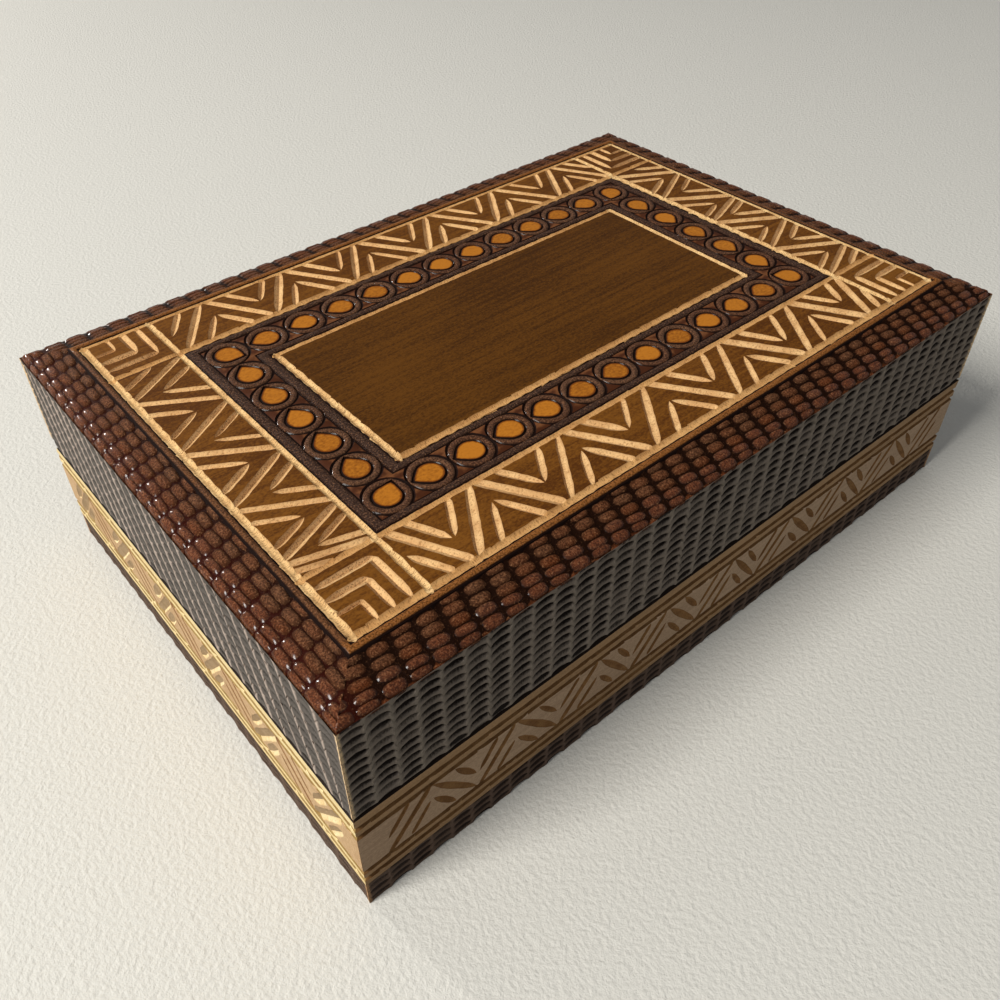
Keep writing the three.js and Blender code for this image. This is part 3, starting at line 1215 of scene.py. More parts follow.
@dataclass(frozen=True)
class BareWood:
    """Wood laid bare by the gouge, pale, with tears in its fibres.

    Attributes:
        light: Colour of the cleanest wood.
        middle: Colour of the rest.
        dark: Colour of the tears in its fibres.
        grain: Size of the tears in millimetres.
        stretch: How much finer they are along each axis.
        torn: How much the tears show, from 0 to 1.
        rough: Depth of the tears in millimetres.
    """

    name: str
    light: Colour
    middle: Colour
    dark: Colour
    grain: float = 0.4
    stretch: Triple = (0.6, 1, 1)
    torn: float = 0.4
    rough: float = 0.2

    EDGE = 0.45

    def build(self) -> Material:
        """Makes the material.

        Returns:
            The material.
        """
        shade = Shade(self.name)
        fibres = shade.noise(self.grain, self.stretch, 3, 0.65)
        patches = shade.noise(3.2, (0.5, 1, 1))
        colour = shade.mix(shade.between(patches, 0.35, 0.65), self.middle, self.light)
        torn = shade.times(shade.between(fibres, 0.5, 0.36), self.torn)
        edge = shade.plus(shade.attribute("crest"), shade.times(fibres, 0.5))
        edge = shade.times(shade.between(edge, 1.0, 1.3), self.EDGE)
        colour = shade.mix(shade.maths("MAXIMUM", torn, edge), colour, self.dark)
        shade.bump(fibres, self.rough)
        return shade.finish(colour, 0.85, 0.2)


@dataclass(frozen=True)
class DomedStain:
    """Dark stain in the hollows that thins out towards the tops of the carved forms.

    Attributes:
        edge: Half length and half width of the lid, in millimetres.
        crest: Colour of the tops.
        warm: Colour of the tops near the lid's edge.
        start: Crest value at which the hollow's colour begins to give way.
        end: Crest value at which the top's colour is reached.
        roughness: Roughness of the tops.
        coat: Strength of the shellac.
    """

    name: str
    edge: Pair
    crest: Colour
    warm: Colour
    start: float
    end: float
    roughness: float
    coat: float = 0.0

    HOLLOW = (28, 8, 0)
    LEFT_HOLLOW = (54, 13, 3)
    RUBBED = (160, 113, 77)
    WARM_BAND = (6, 1)
    LEFT_BAND = (10, 2)
    DULL_SHARE = 0.68
    DULL_SPECKS = (0.54, 0.42)
    RUBBED_SPECKS = (0.54, 0.64)
    RUBBED_SHARE = 0.6
    COAT_ROUGHNESS = 0.18

    def build(self) -> Material:
        """Makes the material.

        Returns:
            The material.
        """
        shade = Shade(self.name)
        specks = shade.noise(0.34, (1, 1, 1), 4, 0.7)
        clouds = shade.noise(4.5)
        begin, full = self.WARM_BAND
        outer = [
            shade.between(shade.maths("ABSOLUTE", shade.axis(letter)), reach - begin, reach - full)
            for letter, reach in zip("XY", self.edge)
        ]
        tone = shade.plus(shade.attribute("tone"), shade.times(clouds, 1.2))
        warmth = shade.times(shade.between(tone, 0.5, 1.5), 0.45)
        warmth = shade.plus(warmth, shade.maths("MAXIMUM", *outer), True)
        top = shade.mix(warmth, self.crest, self.warm)
        dulled = shade.mix(self.DULL_SHARE, top, self.HOLLOW)
        low = shade.between(shade.attribute("crest"), 0.95, 0.25)
        dull = shade.maths("MAXIMUM", shade.between(specks, *self.DULL_SPECKS), low)
        top = shade.mix(dull, top, dulled)
        rubbed = shade.times(shade.between(specks, *self.RUBBED_SPECKS), self.RUBBED_SHARE)
        top = shade.mix(rubbed, top, self.RUBBED)
        begin, full = self.LEFT_BAND
        left = shade.between(shade.axis("X"), begin - self.edge[0], full - self.edge[0])
        hollow = shade.mix(left, self.HOLLOW, self.LEFT_HOLLOW)
        crest = shade.plus(shade.attribute("crest"), shade.times(specks, 0.5))
        share = shade.between(crest, self.start + 0.25, self.end + 0.25)
        colour = shade.mix(share, hollow, top)
        shade.bump(specks, 0.3)
        if self.coat:
            shade.surface.inputs["Coat Weight"].default_value = self.coat
            shade.surface.inputs["Coat Roughness"].default_value = self.COAT_ROUGHNESS
        return shade.finish(colour, self.roughness, 0.06)


@dataclass(frozen=True)
class FlatStain:
    """One even stain with a little mottling, darker where its area ends."""

    name: str
    light: Colour
    dark: Colour
    roughness: float

    def build(self) -> Material:
        """Makes the material.

        Returns:
            The material.
        """
        shade = Shade(self.name)
        specks = shade.noise(0.5, (0.7, 1, 1), 4, 0.65)
        share = shade.plus(shade.attribute("crest"), shade.times(specks, 1.6))
        share = shade.plus(share, shade.times(shade.attribute("tone"), 0.5))
        colour = shade.mix(shade.between(share, 1.15, 2.35), self.dark, self.light)
        shade.bump(specks, 0.05)
        return shade.finish(colour, self.roughness, 0.12)


@dataclass(frozen=True)
class GougedStain:
    """Matt stain over scooped columns, thinner on the ridges and rubbed off the box's corners.

    Attributes:
        corner: Half length and half width of the box, in millimetres.
        hollow: Colour in the scoops: stain, darkened further as painted shade.
        ridge: Colour of the ridges between them.
        worn: Colour of the rubbed ridges between columns; the left side's copy has it painted
            lighter as a highlight.
        bare: Colour of the box's upright corners.
    """

    name: str
    corner: Pair
    hollow: Colour
    ridge: Colour
    worn: Colour
    bare: Colour

    CORNER_BAND = (0.9, 0.25)
    WORN_SHARE = 0.8

    def build(self) -> Material:
        """Makes the material.

        Returns:
            The material.
        """
        shade = Shade(self.name)
        specks = shade.noise(0.34, (1, 1, 0.6), 4, 0.7)
        clouds = shade.noise(8, (1, 1, 0.4))
        crest = shade.plus(shade.attribute("crest"), shade.times(specks, 0.9))
        # Painted shade on top of the stain: darker down in the scoops.
        colour = shade.mix(shade.between(crest, 0.8, 1.5), self.hollow, self.ridge)
        # Ridge lines between columns; the left side's copy paints them lighter as a highlight.
        rubbed = shade.plus(shade.attribute("tone"), shade.times(clouds, 1.2))
        rubbed = shade.between(rubbed, 0.8, 1.5)
        colour = shade.mix(shade.times(rubbed, self.WORN_SHARE), colour, self.worn)
        begin, full = self.CORNER_BAND
        upright = [
            shade.between(shade.maths("ABSOLUTE", shade.axis(letter)), reach - begin, reach - full)
            for letter, reach in zip("XY", self.corner)
        ]
        edge = shade.times(*upright)
        edge = shade.times(edge, shade.between(specks, 0.36, 0.5))
        colour = shade.mix(edge, colour, self.bare)
        shade.bump(specks, 0.3)
        return shade.finish(colour, 0.75, 0.15)


@dataclass(frozen=True)
class PlanedWood:
    """Plain sanded limewood of the inside."""

    name: str
    light: Colour
    dark: Colour

    def build(self) -> Material:
        """Makes the material.

        Returns:
            The material.
        """
        shade = Shade(self.name)
        rings = shade.noise(2.4, (0.03, 1, 1), 4, 0.6)
        pores = shade.noise(0.3, (0.08, 1, 1), 3, 0.6)
        share = shade.plus(shade.times(rings, 1.2), pores)
        colour = shade.mix(shade.between(share, 0.85, 1.4), self.dark, self.light)
        shade.bump(pores, 0.05)
        return shade.finish(colour, 0.62, 0.35)


@dataclass(frozen=True)
class DullBrass:
    """Lacquered brass with a few darker clouds."""

    name: str
    light: Colour
    dark: Colour

    def build(self) -> Material:
        """Makes the material.

        Returns:
            The material.
        """
        shade = Shade(self.name)
        clouds = shade.noise(2.5, (1, 1, 1), 4)
        scratches = shade.noise(0.25, (0.06, 1, 1), 2)
        colour = shade.mix(shade.between(clouds, 0.35, 0.65), self.dark, self.light)
        shade.surface.inputs["Metallic"].default_value = 1.0
        shade.bump(scratches, 0.01)
        roughness = shade.plus(shade.times(clouds, 0.25), 0.2)
        return shade.finish(colour, roughness)


INSIDE = PlanedWood("planed_wood", (222, 190, 142), (190, 152, 104))
BRASS = DullBrass("dull_brass", (196, 158, 92), (150, 112, 58))


def made(finish: Finish) -> Material:
    """A finish's material, made at its first use."""
    return bpy.data.materials.get(finish.name) or finish.build()


def lid_finishes(sizes: BoxSizes) -> dict[Paint, Material]:
    """Makes the materials of the lid's wood.

    Args:
        sizes: The box's sizes.

    Returns:
        A material for each finish.
    """
    corner = sizes.corner
    rim = (corner[0] + 10, corner[1] - 7)
    pebble = (corner, (112, 73, 49), (118, 62, 32), 0.0, 0.25)
    bare = (255, 220, 170)
    # Scoop colours: the near-black in the hollows is stain and painted shade.
    columns = ((22, 12, 7), (144, 131, 118), (150, 138, 124), bare)
    # The lit left side's copy: hollows and ridge lines painted lighter as lit.
    lit_left = ((44, 38, 34), (106, 99, 92), (214, 194, 178), bare)
    cuts = ((234, 190, 132), (216, 168, 112), (142, 92, 46))
    # Colours of the walls where the wood tore, painted darker than the cuts as shade.
    torn = ((214, 166, 112), (186, 138, 88), (92, 56, 26))
    along = ((224, 173, 110), (203, 151, 92), (116, 74, 36))
    across = ((240, 200, 140), (218, 174, 116), (110, 68, 32))
    ring = (corner, (112, 77, 54), (87, 46, 26), 0.15, 0.85)
    bead = (corner, (76, 56, 46), (78, 46, 26), 0.05, 0.8)
    rim_bead = (rim, (96, 64, 46), (158, 98, 44), 0.05, 0.7)
    finishes = {
        Paint.GROUND: StainedWood("zigzag_ground", (124, 76, 20), (82, 43, 4), 0.6),
        Paint.PANEL: StainedWood("centre_panel", (98, 58, 8), (63, 33, 0), 0.55),
        Paint.BARE: BareWood("bare_cuts", *cuts, 0.36, (0.7, 1, 1), 0.55),
        Paint.TORN: BareWood("torn_and_shaded_walls", *torn, 0.28, (1, 1, 1), 0.75),
        Paint.LINE_ALONG: BareWood("lines_along", *along, 0.5, (2.4, 0.7, 1), 0.6, 0.12),
        Paint.LINE_ACROSS: BareWood("lines_across", *across, 0.5, (0.6, 3.0, 1), 0.8, 0.14),
        # Burnt lines, also used on the lid's eased lower edge as painted shade of the gap.
        Paint.BURNT: FlatStain("burnt_lines_and_gap_shade", (38, 12, 3), (20, 4, 0), 0.8),
        Paint.RING: DomedStain("ring_bodies", *ring, 0.5, 0.2),
        Paint.DOT: FlatStain("ochre_dots", (188, 116, 32), (112, 56, 8), 0.5),
        Paint.TAN: FlatStain("tan_corners", (120, 74, 42), (72, 36, 16), 0.55),
        Paint.BEAD: DomedStain("dark_beads", *bead, 0.5, 0.1),
        Paint.RIM: DomedStain("rim_bead", *rim_bead, 0.5, 0.1),
        Paint.PEBBLE: DomedStain("border_pebbles", *pebble, 0.55),
        Paint.PEBBLE_OUTER: DomedStain("outer_pebbles", *pebble, 0.5, 0.55),
        Paint.COLUMN: GougedStain("gouged_columns", corner, *columns),
        Paint.COLUMN_FADED: GougedStain("lit_left_columns", corner, *lit_left),
        Paint.PLAIN: INSIDE,
    }
    return {paint: made(finish) for paint, finish in finishes.items()}


def base_finishes(sizes: BoxSizes, side: Side) -> dict[Paint, Material]:
    """Makes the materials of one wall of the base.

    Args:
        sizes: The box's sizes.
        side: The wall's side. The left one's colours are painted paler as lit, the others' darker
            as shaded.

    Returns:
        A material for each finish.
    """
    name = f"base_{side.label}"
    # Painted light and shade: the left wall's band, rails and cuts are pale copies as lit, the
    # other walls' darker copies as shaded.
    if side is Side.LEFT:
        band, rail = ((216, 183, 140), (187, 148, 104)), ((248, 226, 172), (232, 202, 142))
        line = ((178, 148, 92), (156, 124, 72), (116, 88, 48))
        rising = BareWood(f"{name}_pale_cuts", (250, 230, 180), (238, 208, 152), (180, 140, 90))
        falling = BareWood(f"{name}_tan_cuts", (176, 136, 94), (156, 114, 74), (112, 76, 46))
    else:
        band, rail = ((201, 170, 138), (173, 142, 112)), ((184, 146, 104), (156, 122, 84))
        line = ((144, 106, 64), (120, 84, 48), (80, 52, 28))
        rising = BareWood(f"{name}_brown_cuts", (160, 118, 72), (134, 94, 54), (100, 68, 38))
        falling = rising
    # The skirt's near-black scoops are stain and painted shade.
    skirt = ((44, 30, 24), (104, 84, 70), (116, 94, 80), (200, 156, 112))
    finishes = {
        Paint.BAND: StainedWood(f"{name}_band", *band, 0.62),
        Paint.BAND_RAIL: StainedWood(f"{name}_rails", *rail, 0.62),
        Paint.BAND_LINE: BareWood(f"{name}_line_cuts", *line),
        Paint.BAND_RISING: rising,
        Paint.BAND_FALLING: falling,
        Paint.SKIRT: GougedStain(f"{name}_skirt", sizes.corner, *skirt),
        # The eased upper edge is painted dark as the shade of the gap under the lid.
        Paint.BURNT: FlatStain(f"{name}_edge", (36, 24, 16), (20, 12, 8), 0.6),
        Paint.PLAIN: INSIDE,
    }
    if side is Side.LEFT:
        shaded = ((188, 160, 124), (172, 144, 108), (136, 106, 74))
        finishes[Paint.BAND_SHADE] = BareWood(f"{name}_shaded_cuts", *shaded)
    return {paint: made(finish) for paint, finish in finishes.items()}


# Gouged columns of the sides


def mitred(
    sizes: BoxSizes, side: Side, along: Values, inset: Values, z: Values, gap: float = 0.0
) -> Array:
    """Places points of a side so that its ends follow the mitres.

    Args:
        sizes: The box's sizes.
        side: The side.
        along: Distance along the side at its face.
        inset: Distance in from the face.
        z: Height.
        gap: Room left at each mitre.

    Returns:
        The points, three to a row.
    """
    half = side.half_length(sizes)
    along, inset, z = np.broadcast_arrays(along, inset, z)
    drawn = along * (half - gap - inset) / half
    plan = side.place(sizes, drawn, inset)
    return np.concatenate([plan, z[..., None]], -1).reshape(-1, 3)


@dataclass
class GougedGrid:
    """Samples of a side's scoops, a row for each upright line. Ridges have the highest tone."""

    along: Array
    inset: Array
    z: Array
    crest: Array
    tone: Array

    def add(self, skin: Skin, sizes: BoxSizes, side: Side, paint: Paint, gap: float = 0.0) -> Array:
        """Adds the scoops to a piece.

        Args:
            skin: The piece's faces.
            sizes: The box's sizes.
            side: The side.
            paint: Finish of the scoops.
            gap: Room left at each mitre.

        Returns:
            The points, by upright line and height.
        """
        points = mitred(sizes, side, self.along, self.inset, self.z, gap)
        faces = grid_faces(*self.z.shape)
        skin.add(points, faces, paint, self.crest.ravel(), self.tone.ravel())
        return points.reshape(*self.z.shape, 3)


@dataclass
class GougedColumns:
    """Columns of stacked scoops, counted round the box from the front's left end.

    Attributes:
        long_count: Columns on a long side.
        short_count: Columns on a short side.
        pitch: Height of a scoop.
        arch: How far the ridge between two scoops rises at the column's middle.
        flute: Depth of the column's own hollow.
        scoop: Depth of a scoop below that.
        leaf: Height of a scoop at the column's middle, as a share of the pitch.
    """

    sizes: BoxSizes
    long_count: int = 38
    short_count: int = 26
    pitch: float = 2.05
    arch: float = 0.12
    flute: float = 0.25
    scoop: float = 0.62
    leaf: float = 0.88
    seed: int = 11

    ACROSS = np.array([0.0, 0.07, 0.18, 0.34, 0.5, 0.66, 0.82, 0.93])
    UP = np.array([0.0, 0.09, 0.22, 0.4, 0.58, 0.76, 0.91])
    EDGE = 0.05
    ROWS = 40
    SHIFT = 0.1
    TILT = 0.35
    FORCE = (0.45, 1.15)
    LEAF_CURVE = 2.2
    FLUTE_CURVE = 2.4
    SAG = 1.15
    BOWL = 1.1
    SWAY = 1.7
    SWAY_STEP = 2.4
    SWING = 0.2
    RUN_OUT = 0.15
    FOOT = 1.4
    FOOT_OUT = 0.45
    ON_LEFT = 0.66
    LEANS = {Side.LEFT: 0.28}
    LEAN_LEVEL = 41.0
    LEAN_ROOM = 8.0
    WORN = ((0.0, 0.07, 0.18), (1.0, 0.55, 0.0))

    def __post_init__(self) -> None:
        """Draws each column's shift and tilt, and the force of each scoop."""
        chance = np.random.default_rng(self.seed)
        count = 2 * (self.long_count + self.short_count)
        shift = chance.uniform(-self.SHIFT, self.SHIFT, count)
        self.shift = 0.5 * (np.arange(count) % 2) + shift
        self.tilt = chance.uniform(-self.TILT, self.TILT, count)
        self.force = chance.uniform(*self.FORCE, (count, self.ROWS))

    def count(self, side: Side) -> int:
        """Number of columns on a side."""
        return self.short_count if side.value % 2 else self.long_count

    def paint(self, side: Side) -> Paint:
        """Finish of the lid's columns on a side. The left one is a copy painted lighter, as lit."""
        return Paint.COLUMN_FADED if side is Side.LEFT else Paint.COLUMN

    def first(self, side: Side) -> int:
        """Number of the side's first column."""
        return sum(self.count(Side(k)) for k in range(side.value))

    def ridge(self, ring: Array, share: Array) -> Array:
        """Height of a column's lowest ridge at shares of its width."""
        arch = self.arch * (1 - (2 * share - 1) ** 2)
        return self.shift[ring] * self.pitch + arch + self.tilt[ring] * (share - 0.5)

    def grid(
        self,
        side: Side,
        low: float,
        high: float,
        cut: float = 1.0,
        fade: float = 0.0,
        foot: bool = False,
        upright: bool = False,
    ) -> GougedGrid:
        """Samples the scoops of a side between two heights.

        Args:
            side: The side of the box.
            low: Lower end.
            high: Upper end.
            cut: Depth of the cuts as a share of the usual one.
            fade: Height over which they run out below the upper end.
            foot: Whether they get shallower towards the lower end.
            upright: Whether the columns stand upright on the side where they usually lean.

        Returns:
            The samples.
        """
        count = self.count(side)
        first_row = math.floor(low / self.pitch) - 2
        rows = np.arange(first_row, math.ceil(high / self.pitch) + 2)
        share = np.append(np.tile(self.ACROSS, count), 0.0)
        index = np.append(np.repeat(np.arange(count), len(self.ACROSS)), count)
        ring = (self.first(side) + index) % len(self.shift)
        base = self.ridge(ring, share)
        edge = share == 0
        before = (ring - 1) % len(self.shift)
        base[edge] = (self.ridge(ring, share)[edge] + self.ridge(before, share + 1)[edge]) / 2
        up = (rows[:, None] + self.UP).ravel()
        z = base[:, None] + up * self.pitch
        force = self.force[ring][:, rows % self.ROWS].repeat(len(self.UP), axis=1)
        leaf = self.leaf * (1 - np.abs(2 * share - 1) ** self.LEAF_CURVE)
        if side is Side.LEFT:
            force, leaf = self.ON_LEFT * force, self.ON_LEFT * leaf
        off = np.abs(2 * np.tile(self.UP, len(rows)) ** self.SAG - 1)
        bowl = np.clip(1 - (off / np.maximum(leaf[:, None], TINY)) ** 2, 0, 1) ** self.BOWL
        deep = force * bowl
        wide = 1 - np.abs(2 * share - 1) ** self.FLUTE_CURVE
        ease = np.clip((high - z) / fade, self.RUN_OUT, 1) if fade else 1.0
        if foot:
            ease = ease * np.clip((z - low) / self.FOOT, self.FOOT_OUT, 1)
        inset = self.EDGE + cut * ease * (self.flute * wide[:, None] + self.scoop * deep)
        crest = 1 - deep
        held = np.clip(z, low, high)
        sway = np.sin(self.SWAY * held + self.SWAY_STEP * index[:, None]) * edge[:, None]
        sway *= np.sin(math.pi * (held - low) / (high - low))
        sway[[0, -1]] = 0
        for i in range(len(z)):
            inset[i] = np.interp(held[i], z[i], inset[i])
            crest[i] = np.interp(held[i], z[i], crest[i])
        half = side.half_length(self.sizes)
        along = ((index + share) / count * 2 - 1)[:, None] * half + self.SWING * sway
        if not upright:
            room = np.clip((half - np.abs(along)) / self.LEAN_ROOM, 0, 1)
            along += room * self.LEANS.get(side, 0.0) * (self.LEAN_LEVEL - held)
        worn = np.interp(np.minimum(share, 1 - share), *self.WORN)
        return GougedGrid(along, inset, held, crest, np.broadcast_to(worn[:, None], z.shape))


# Lid


@dataclass
class ZigzagBand:
    """A zigzag of paired strokes between two parallel lines.

    Attributes:
        turns: Where it turns, along the band. Even turns stand on line a and odd ones on line b.
        line_a: Place of the line that it begins on.
        line_b: Place of the other line.
        swap: The band runs along Y in place of X.
        width: Width of a main stroke.
        rise: Height of the small chevrons, as a share of the band.
        lean: Where the bottom of a rising stroke lies, as a Cut's lean.
        stout: Width of the falling strokes as a share of the others'.
        rising: Finish of the strokes that rise to the right.
        torn: Finish of their left wall, which is painted darker as shade.
        falling: Finish of the other strokes.
        taper: Length of the rising strokes' points, as a share of the stroke.
        blunt: Length of the falling strokes' first points, as a share of the stroke.
    """

    turns: tuple[float, ...]
    line_a: float
    line_b: float
    swap: bool = False
    width: float = 1.75
    depth: float = 0.55
    rise: float = 0.55
    lean: float = 0.0
    stout: float = 1.0
    rising: Paint = Paint.BARE
    torn: Paint | None = Paint.TORN
    falling: Paint = Paint.BARE
    taper: float = 0.26
    blunt: float = 0.12
    seed: int = 1

    APART = 0.55
    OVERSHOOT = (0.2, 1.0)
    SPREAD = 0.5
    RISE_CHANCE = 0.04
    CHEVRON_APART = 0.06
    CHEVRON_WIDTH = 0.85
    CHEVRON_OVERSHOOT = (-0.3, 0.4)
    CHEVRON_TIP = 0.34
    WIDTHS = (0.88, 1.12)
    DEPTHS = (0.9, 1.08)
    PHASES = (0, 6)

    def strokes(self) -> list[Cut]:
        """Cuts the main strokes from turn to turn, and then the small chevrons between them.

        Returns:
            All the strokes of the band.
        """
        chance = np.random.default_rng(self.seed)
        cuts = []
        for i in range(len(self.turns) - 1):
            step = math.copysign(self.APART, self.turns[i + 1] - self.turns[i])
            start = (self.turns[i] + step, self.line(i))
            end = (self.turns[i + 1] - step, self.line(i + 1))
            cuts.append(self.stroke(chance, start, end, self.width, self.OVERSHOOT))
        width, over = self.CHEVRON_WIDTH * self.width, self.CHEVRON_OVERSHOOT
        for i, turn in enumerate(self.turns):
            foot = self.line(i + 1)
            rise = self.rise + chance.uniform(-self.RISE_CHANCE, self.RISE_CHANCE)
            apex = foot + rise * (self.line(i) - foot)
            for other in (i - 1, i + 1):
                if 0 <= other < len(self.turns):
                    reach = self.SPREAD * (self.turns[other] - turn)
                    start = (turn + self.CHEVRON_APART * reach, apex)
                    end = (turn + reach, foot)
                    cuts.append(self.stroke(chance, start, end, width, over, self.CHEVRON_TIP))
        return cuts

    def line(self, index: int) -> float:
        """Place of the line that a turn stands on."""
        return self.line_b if index % 2 else self.line_a

    def stroke(
        self,
        chance: np.random.Generator,
        start: Pair,
        end: Pair,
        width: float,
        over: Pair,
        tip: float = 0.0,
    ) -> Cut:
        """One stroke with its own width and length.

        Args:
            chance: The source of chance values.
            start: Where it begins.
            end: Where it ends.
            width: Its usual width.
            over: Least and most that each end runs on.
            tip: Least length of the point at its beginning, as a share of the stroke.

        Returns:
            The cut.
        """
        first, last = np.array(start), np.array(end)
        unit = (last - first) / np.linalg.norm(last - first)
        first = first - unit * chance.uniform(*over)
        last = last + unit * chance.uniform(*over)
        if self.swap:
            first, last = first[::-1], last[::-1]
        rises = (last - first)[0] * (last - first)[1] > 0
        taper = self.taper if rises else self.blunt
        ends = [share * math.dist(first, last) for share in (max(taper, tip), taper)]
        if last[0] < first[0]:
            first, last, ends = last, first, ends[::-1]
        # Rising strokes get a left wall painted darker as shade.
        return Cut(
            tuple(first),
            tuple(last),
            width * chance.uniform(*self.WIDTHS) * (1.0 if rises else self.stout),
            self.depth * chance.uniform(*self.DEPTHS),
            tuple(ends),
            self.lean if rises else 0.0,
            phase=chance.uniform(*self.PHASES),
            paint=self.rising if rises else self.falling,
            left=self.torn if rises else None,
        )


@dataclass
class LidTop:
    """The lid's top board: framed bands, chain of rings, centre panel and border of pebbles."""

    sizes: BoxSizes
    columns: GougedColumns
    finishes: dict[Paint, Material]
    outer_frame: Pair = (78.4, 49.9)
    inner_frame: Pair = (63.9, 35.2)
    panel_frame: Pair = (48.9, 21.4)
    line_width: float = 1.4
    line_depth: float = 0.55
    line_overrun: float = 1.0
    line_points: Pair = (1.2, 1.2)
    corner_steps: Triple = (4.9, 8.2, 11.5)
    corner_width: float = 1.65
    corner_depth: float = 0.6
    corner_lean: float = 0.1
    corner_points: Pair = (0.36, 0.14)
    ring_line: Pair = (56.4, 28.3)
    rings_long: int = 13
    rings_short: int = 7
    bead_overlap: float = 0.25
    border: float = 8.0
    edge_z: float = 52.3
    edge_drop: float = 1.5
    edge_round: float = 0.5
    edge_fade: float = 1.3
    border_slope: float = 0.24
    border_step: float = 0.25
    field_inset: float = 8.2
    seed: int = 5

    ZIGZAG_BACK = (-62.2, -51, -40.7, -30.5, -19.8, -10, 1.2, 12, 22.8, 33.5, 44.2, 54, 63.6)
    ZIGZAG_FRONT = (-62.8, -54, -43.5, -33.5, -22.3, -11.8, 0.5, 11.8, 23.2, 34, 45.7, 55.4, 64)
    ZIGZAG_LEFT = (34.8, 25, 15, 5, -5, -14.2, -23.3, -30.5, -35.6)
    ZIGZAG_RIGHT = (34, 24.8, 16.2, 5.8, -0.5, -10.2, -18.2, -27.5, -34.7)
    LINE_PHASES = (1.7, 0.9, 2.3)
    CORNER_OVERSHOOT = (0, 0.4)
    CORNER_WIDTHS = (0.9, 1.1)
    RIM_GROUND = -0.3
    SLANTS = {Side.FRONT: 0.21, Side.RIGHT: 0.05, Side.BACK: 0.05, Side.LEFT: -0.03}
    PEBBLE_HALF = {Side.FRONT: 2.0, Side.RIGHT: 2.2, Side.BACK: 2.2, Side.LEFT: 2.3}
    PEBBLE_ROWS = ((0.15, 2.1, 4.1, 6.1, 8.1), (0.15, 1.4, 3.1, 5.1, 7.1, 9.1))
    PEBBLE_PLACES = (0.12, 0.1)
    PEBBLE_LENGTHS = (0.94, 1.03)
    PEBBLE_WIDTHS = (0.94, 1.0)
    PEBBLE_TURN = 0.06
    SLANT_TURN = 0.4

    def frame_lines(self) -> list[Cut]:
        """Cuts the lines of the three frames. The inner one's lines run on to the outer.

        Returns:
            The round cuts.
        """
        cuts = []
        frames = (
            (self.outer_frame, self.outer_frame),
            (self.inner_frame, self.outer_frame),
            (self.panel_frame, self.panel_frame),
        )
        by_number, by_side, by_turn = self.LINE_PHASES
        for number, (half, reach) in enumerate(frames):
            x, y = (length + self.line_overrun for length in reach)
            for side in (-1, 1):
                lines = (
                    (Paint.LINE_ALONG, (-x, side * half[1]), (x, side * half[1])),
                    (Paint.LINE_ACROSS, (side * half[0], -y), (side * half[0], y)),
                )
                for turn, (paint, start, end) in enumerate(lines):
                    phase = by_number * number + by_side * side + by_turn * turn
                    size = (self.line_width, self.line_depth, self.line_points)
                    cuts.append(Cut(start, end, *size, 0, True, phase, paint))
        return cuts

    def zigzags(self) -> list[Cut]:
        """Cuts the four bands.

        Returns:
            Their strokes.
        """
        x, y = self.inner_frame, self.outer_frame
        bands = (
            ZigzagBand(self.ZIGZAG_BACK, x[1], y[1], seed=21),
            ZigzagBand(self.ZIGZAG_FRONT, -x[1], -y[1], lean=0.4, stout=1.2, seed=22),
            ZigzagBand(self.ZIGZAG_LEFT, -x[0], -y[0], swap=True, stout=0.85, seed=23),
            ZigzagBand(self.ZIGZAG_RIGHT, x[0], y[0], swap=True, seed=24),
        )
        return [cut for band in bands for cut in band.strokes()]

    def corner_strokes(self) -> list[Cut]:
        """Cuts nested L's in the corner squares, with their angle towards the lid's middle.

        Returns:
            Their strokes.
        """
        chance = np.random.default_rng(self.seed)
        far_x, far_y = self.outer_frame
        cuts = []
        for sx, sy, step in product((-1, 1), (-1, 1), self.corner_steps):
            x, y = far_x - step, far_y - step
            for arm_x, arm_y, past_x, past_y in ((x, far_y, 0, 1), (far_x, y, 1, 0)):
                over = chance.uniform(*self.CORNER_OVERSHOOT)
                start = (sx * arm_x, sy * arm_y)
                end = (sx * (x - over * past_x), sy * (y - over * past_y))
                length = math.dist(start, end)
                if sum(end) < sum(start):
                    start, end = end, start
                width = self.corner_width * min(1, length / self.corner_steps[1])
                width *= chance.uniform(*self.CORNER_WIDTHS)
                points = tuple(share * length for share in self.corner_points)
                phase = chance.uniform(*ZigzagBand.PHASES)
                size = (width, self.corner_depth, points, self.corner_lean)
                # Each L's left wall is painted darker as shade.
                cuts.append(Cut(start, end, *size, phase=phase, left=Paint.TORN))
        return cuts

    def rings(self) -> list[Ring]:
        """Sets out the chain of rings, whose points lead round it.

        Returns:
            The rings.
        """
        chance = np.random.default_rng(self.seed + 1)
        half_x, half_y = self.ring_line
        rings = []
        for i in range(self.rings_long):
            x = half_x * (2 * i / (self.rings_long - 1) - 1)
            for y in (-half_y, half_y):
                tip = math.pi
                if abs(x) > half_x - 1:
                    tip = math.atan2(-y, -x * half_y / half_x)
                rings.append(Ring((x, y), tip, chance.uniform()))
        for i in range(1, self.rings_short - 1):
            y = half_y * (2 * i / (self.rings_short - 1) - 1)
            rings.append(Ring((-half_x, y), math.pi / 2, chance.uniform()))
            rings.append(Ring((half_x, y), -math.pi / 2, chance.uniform()))
        return rings

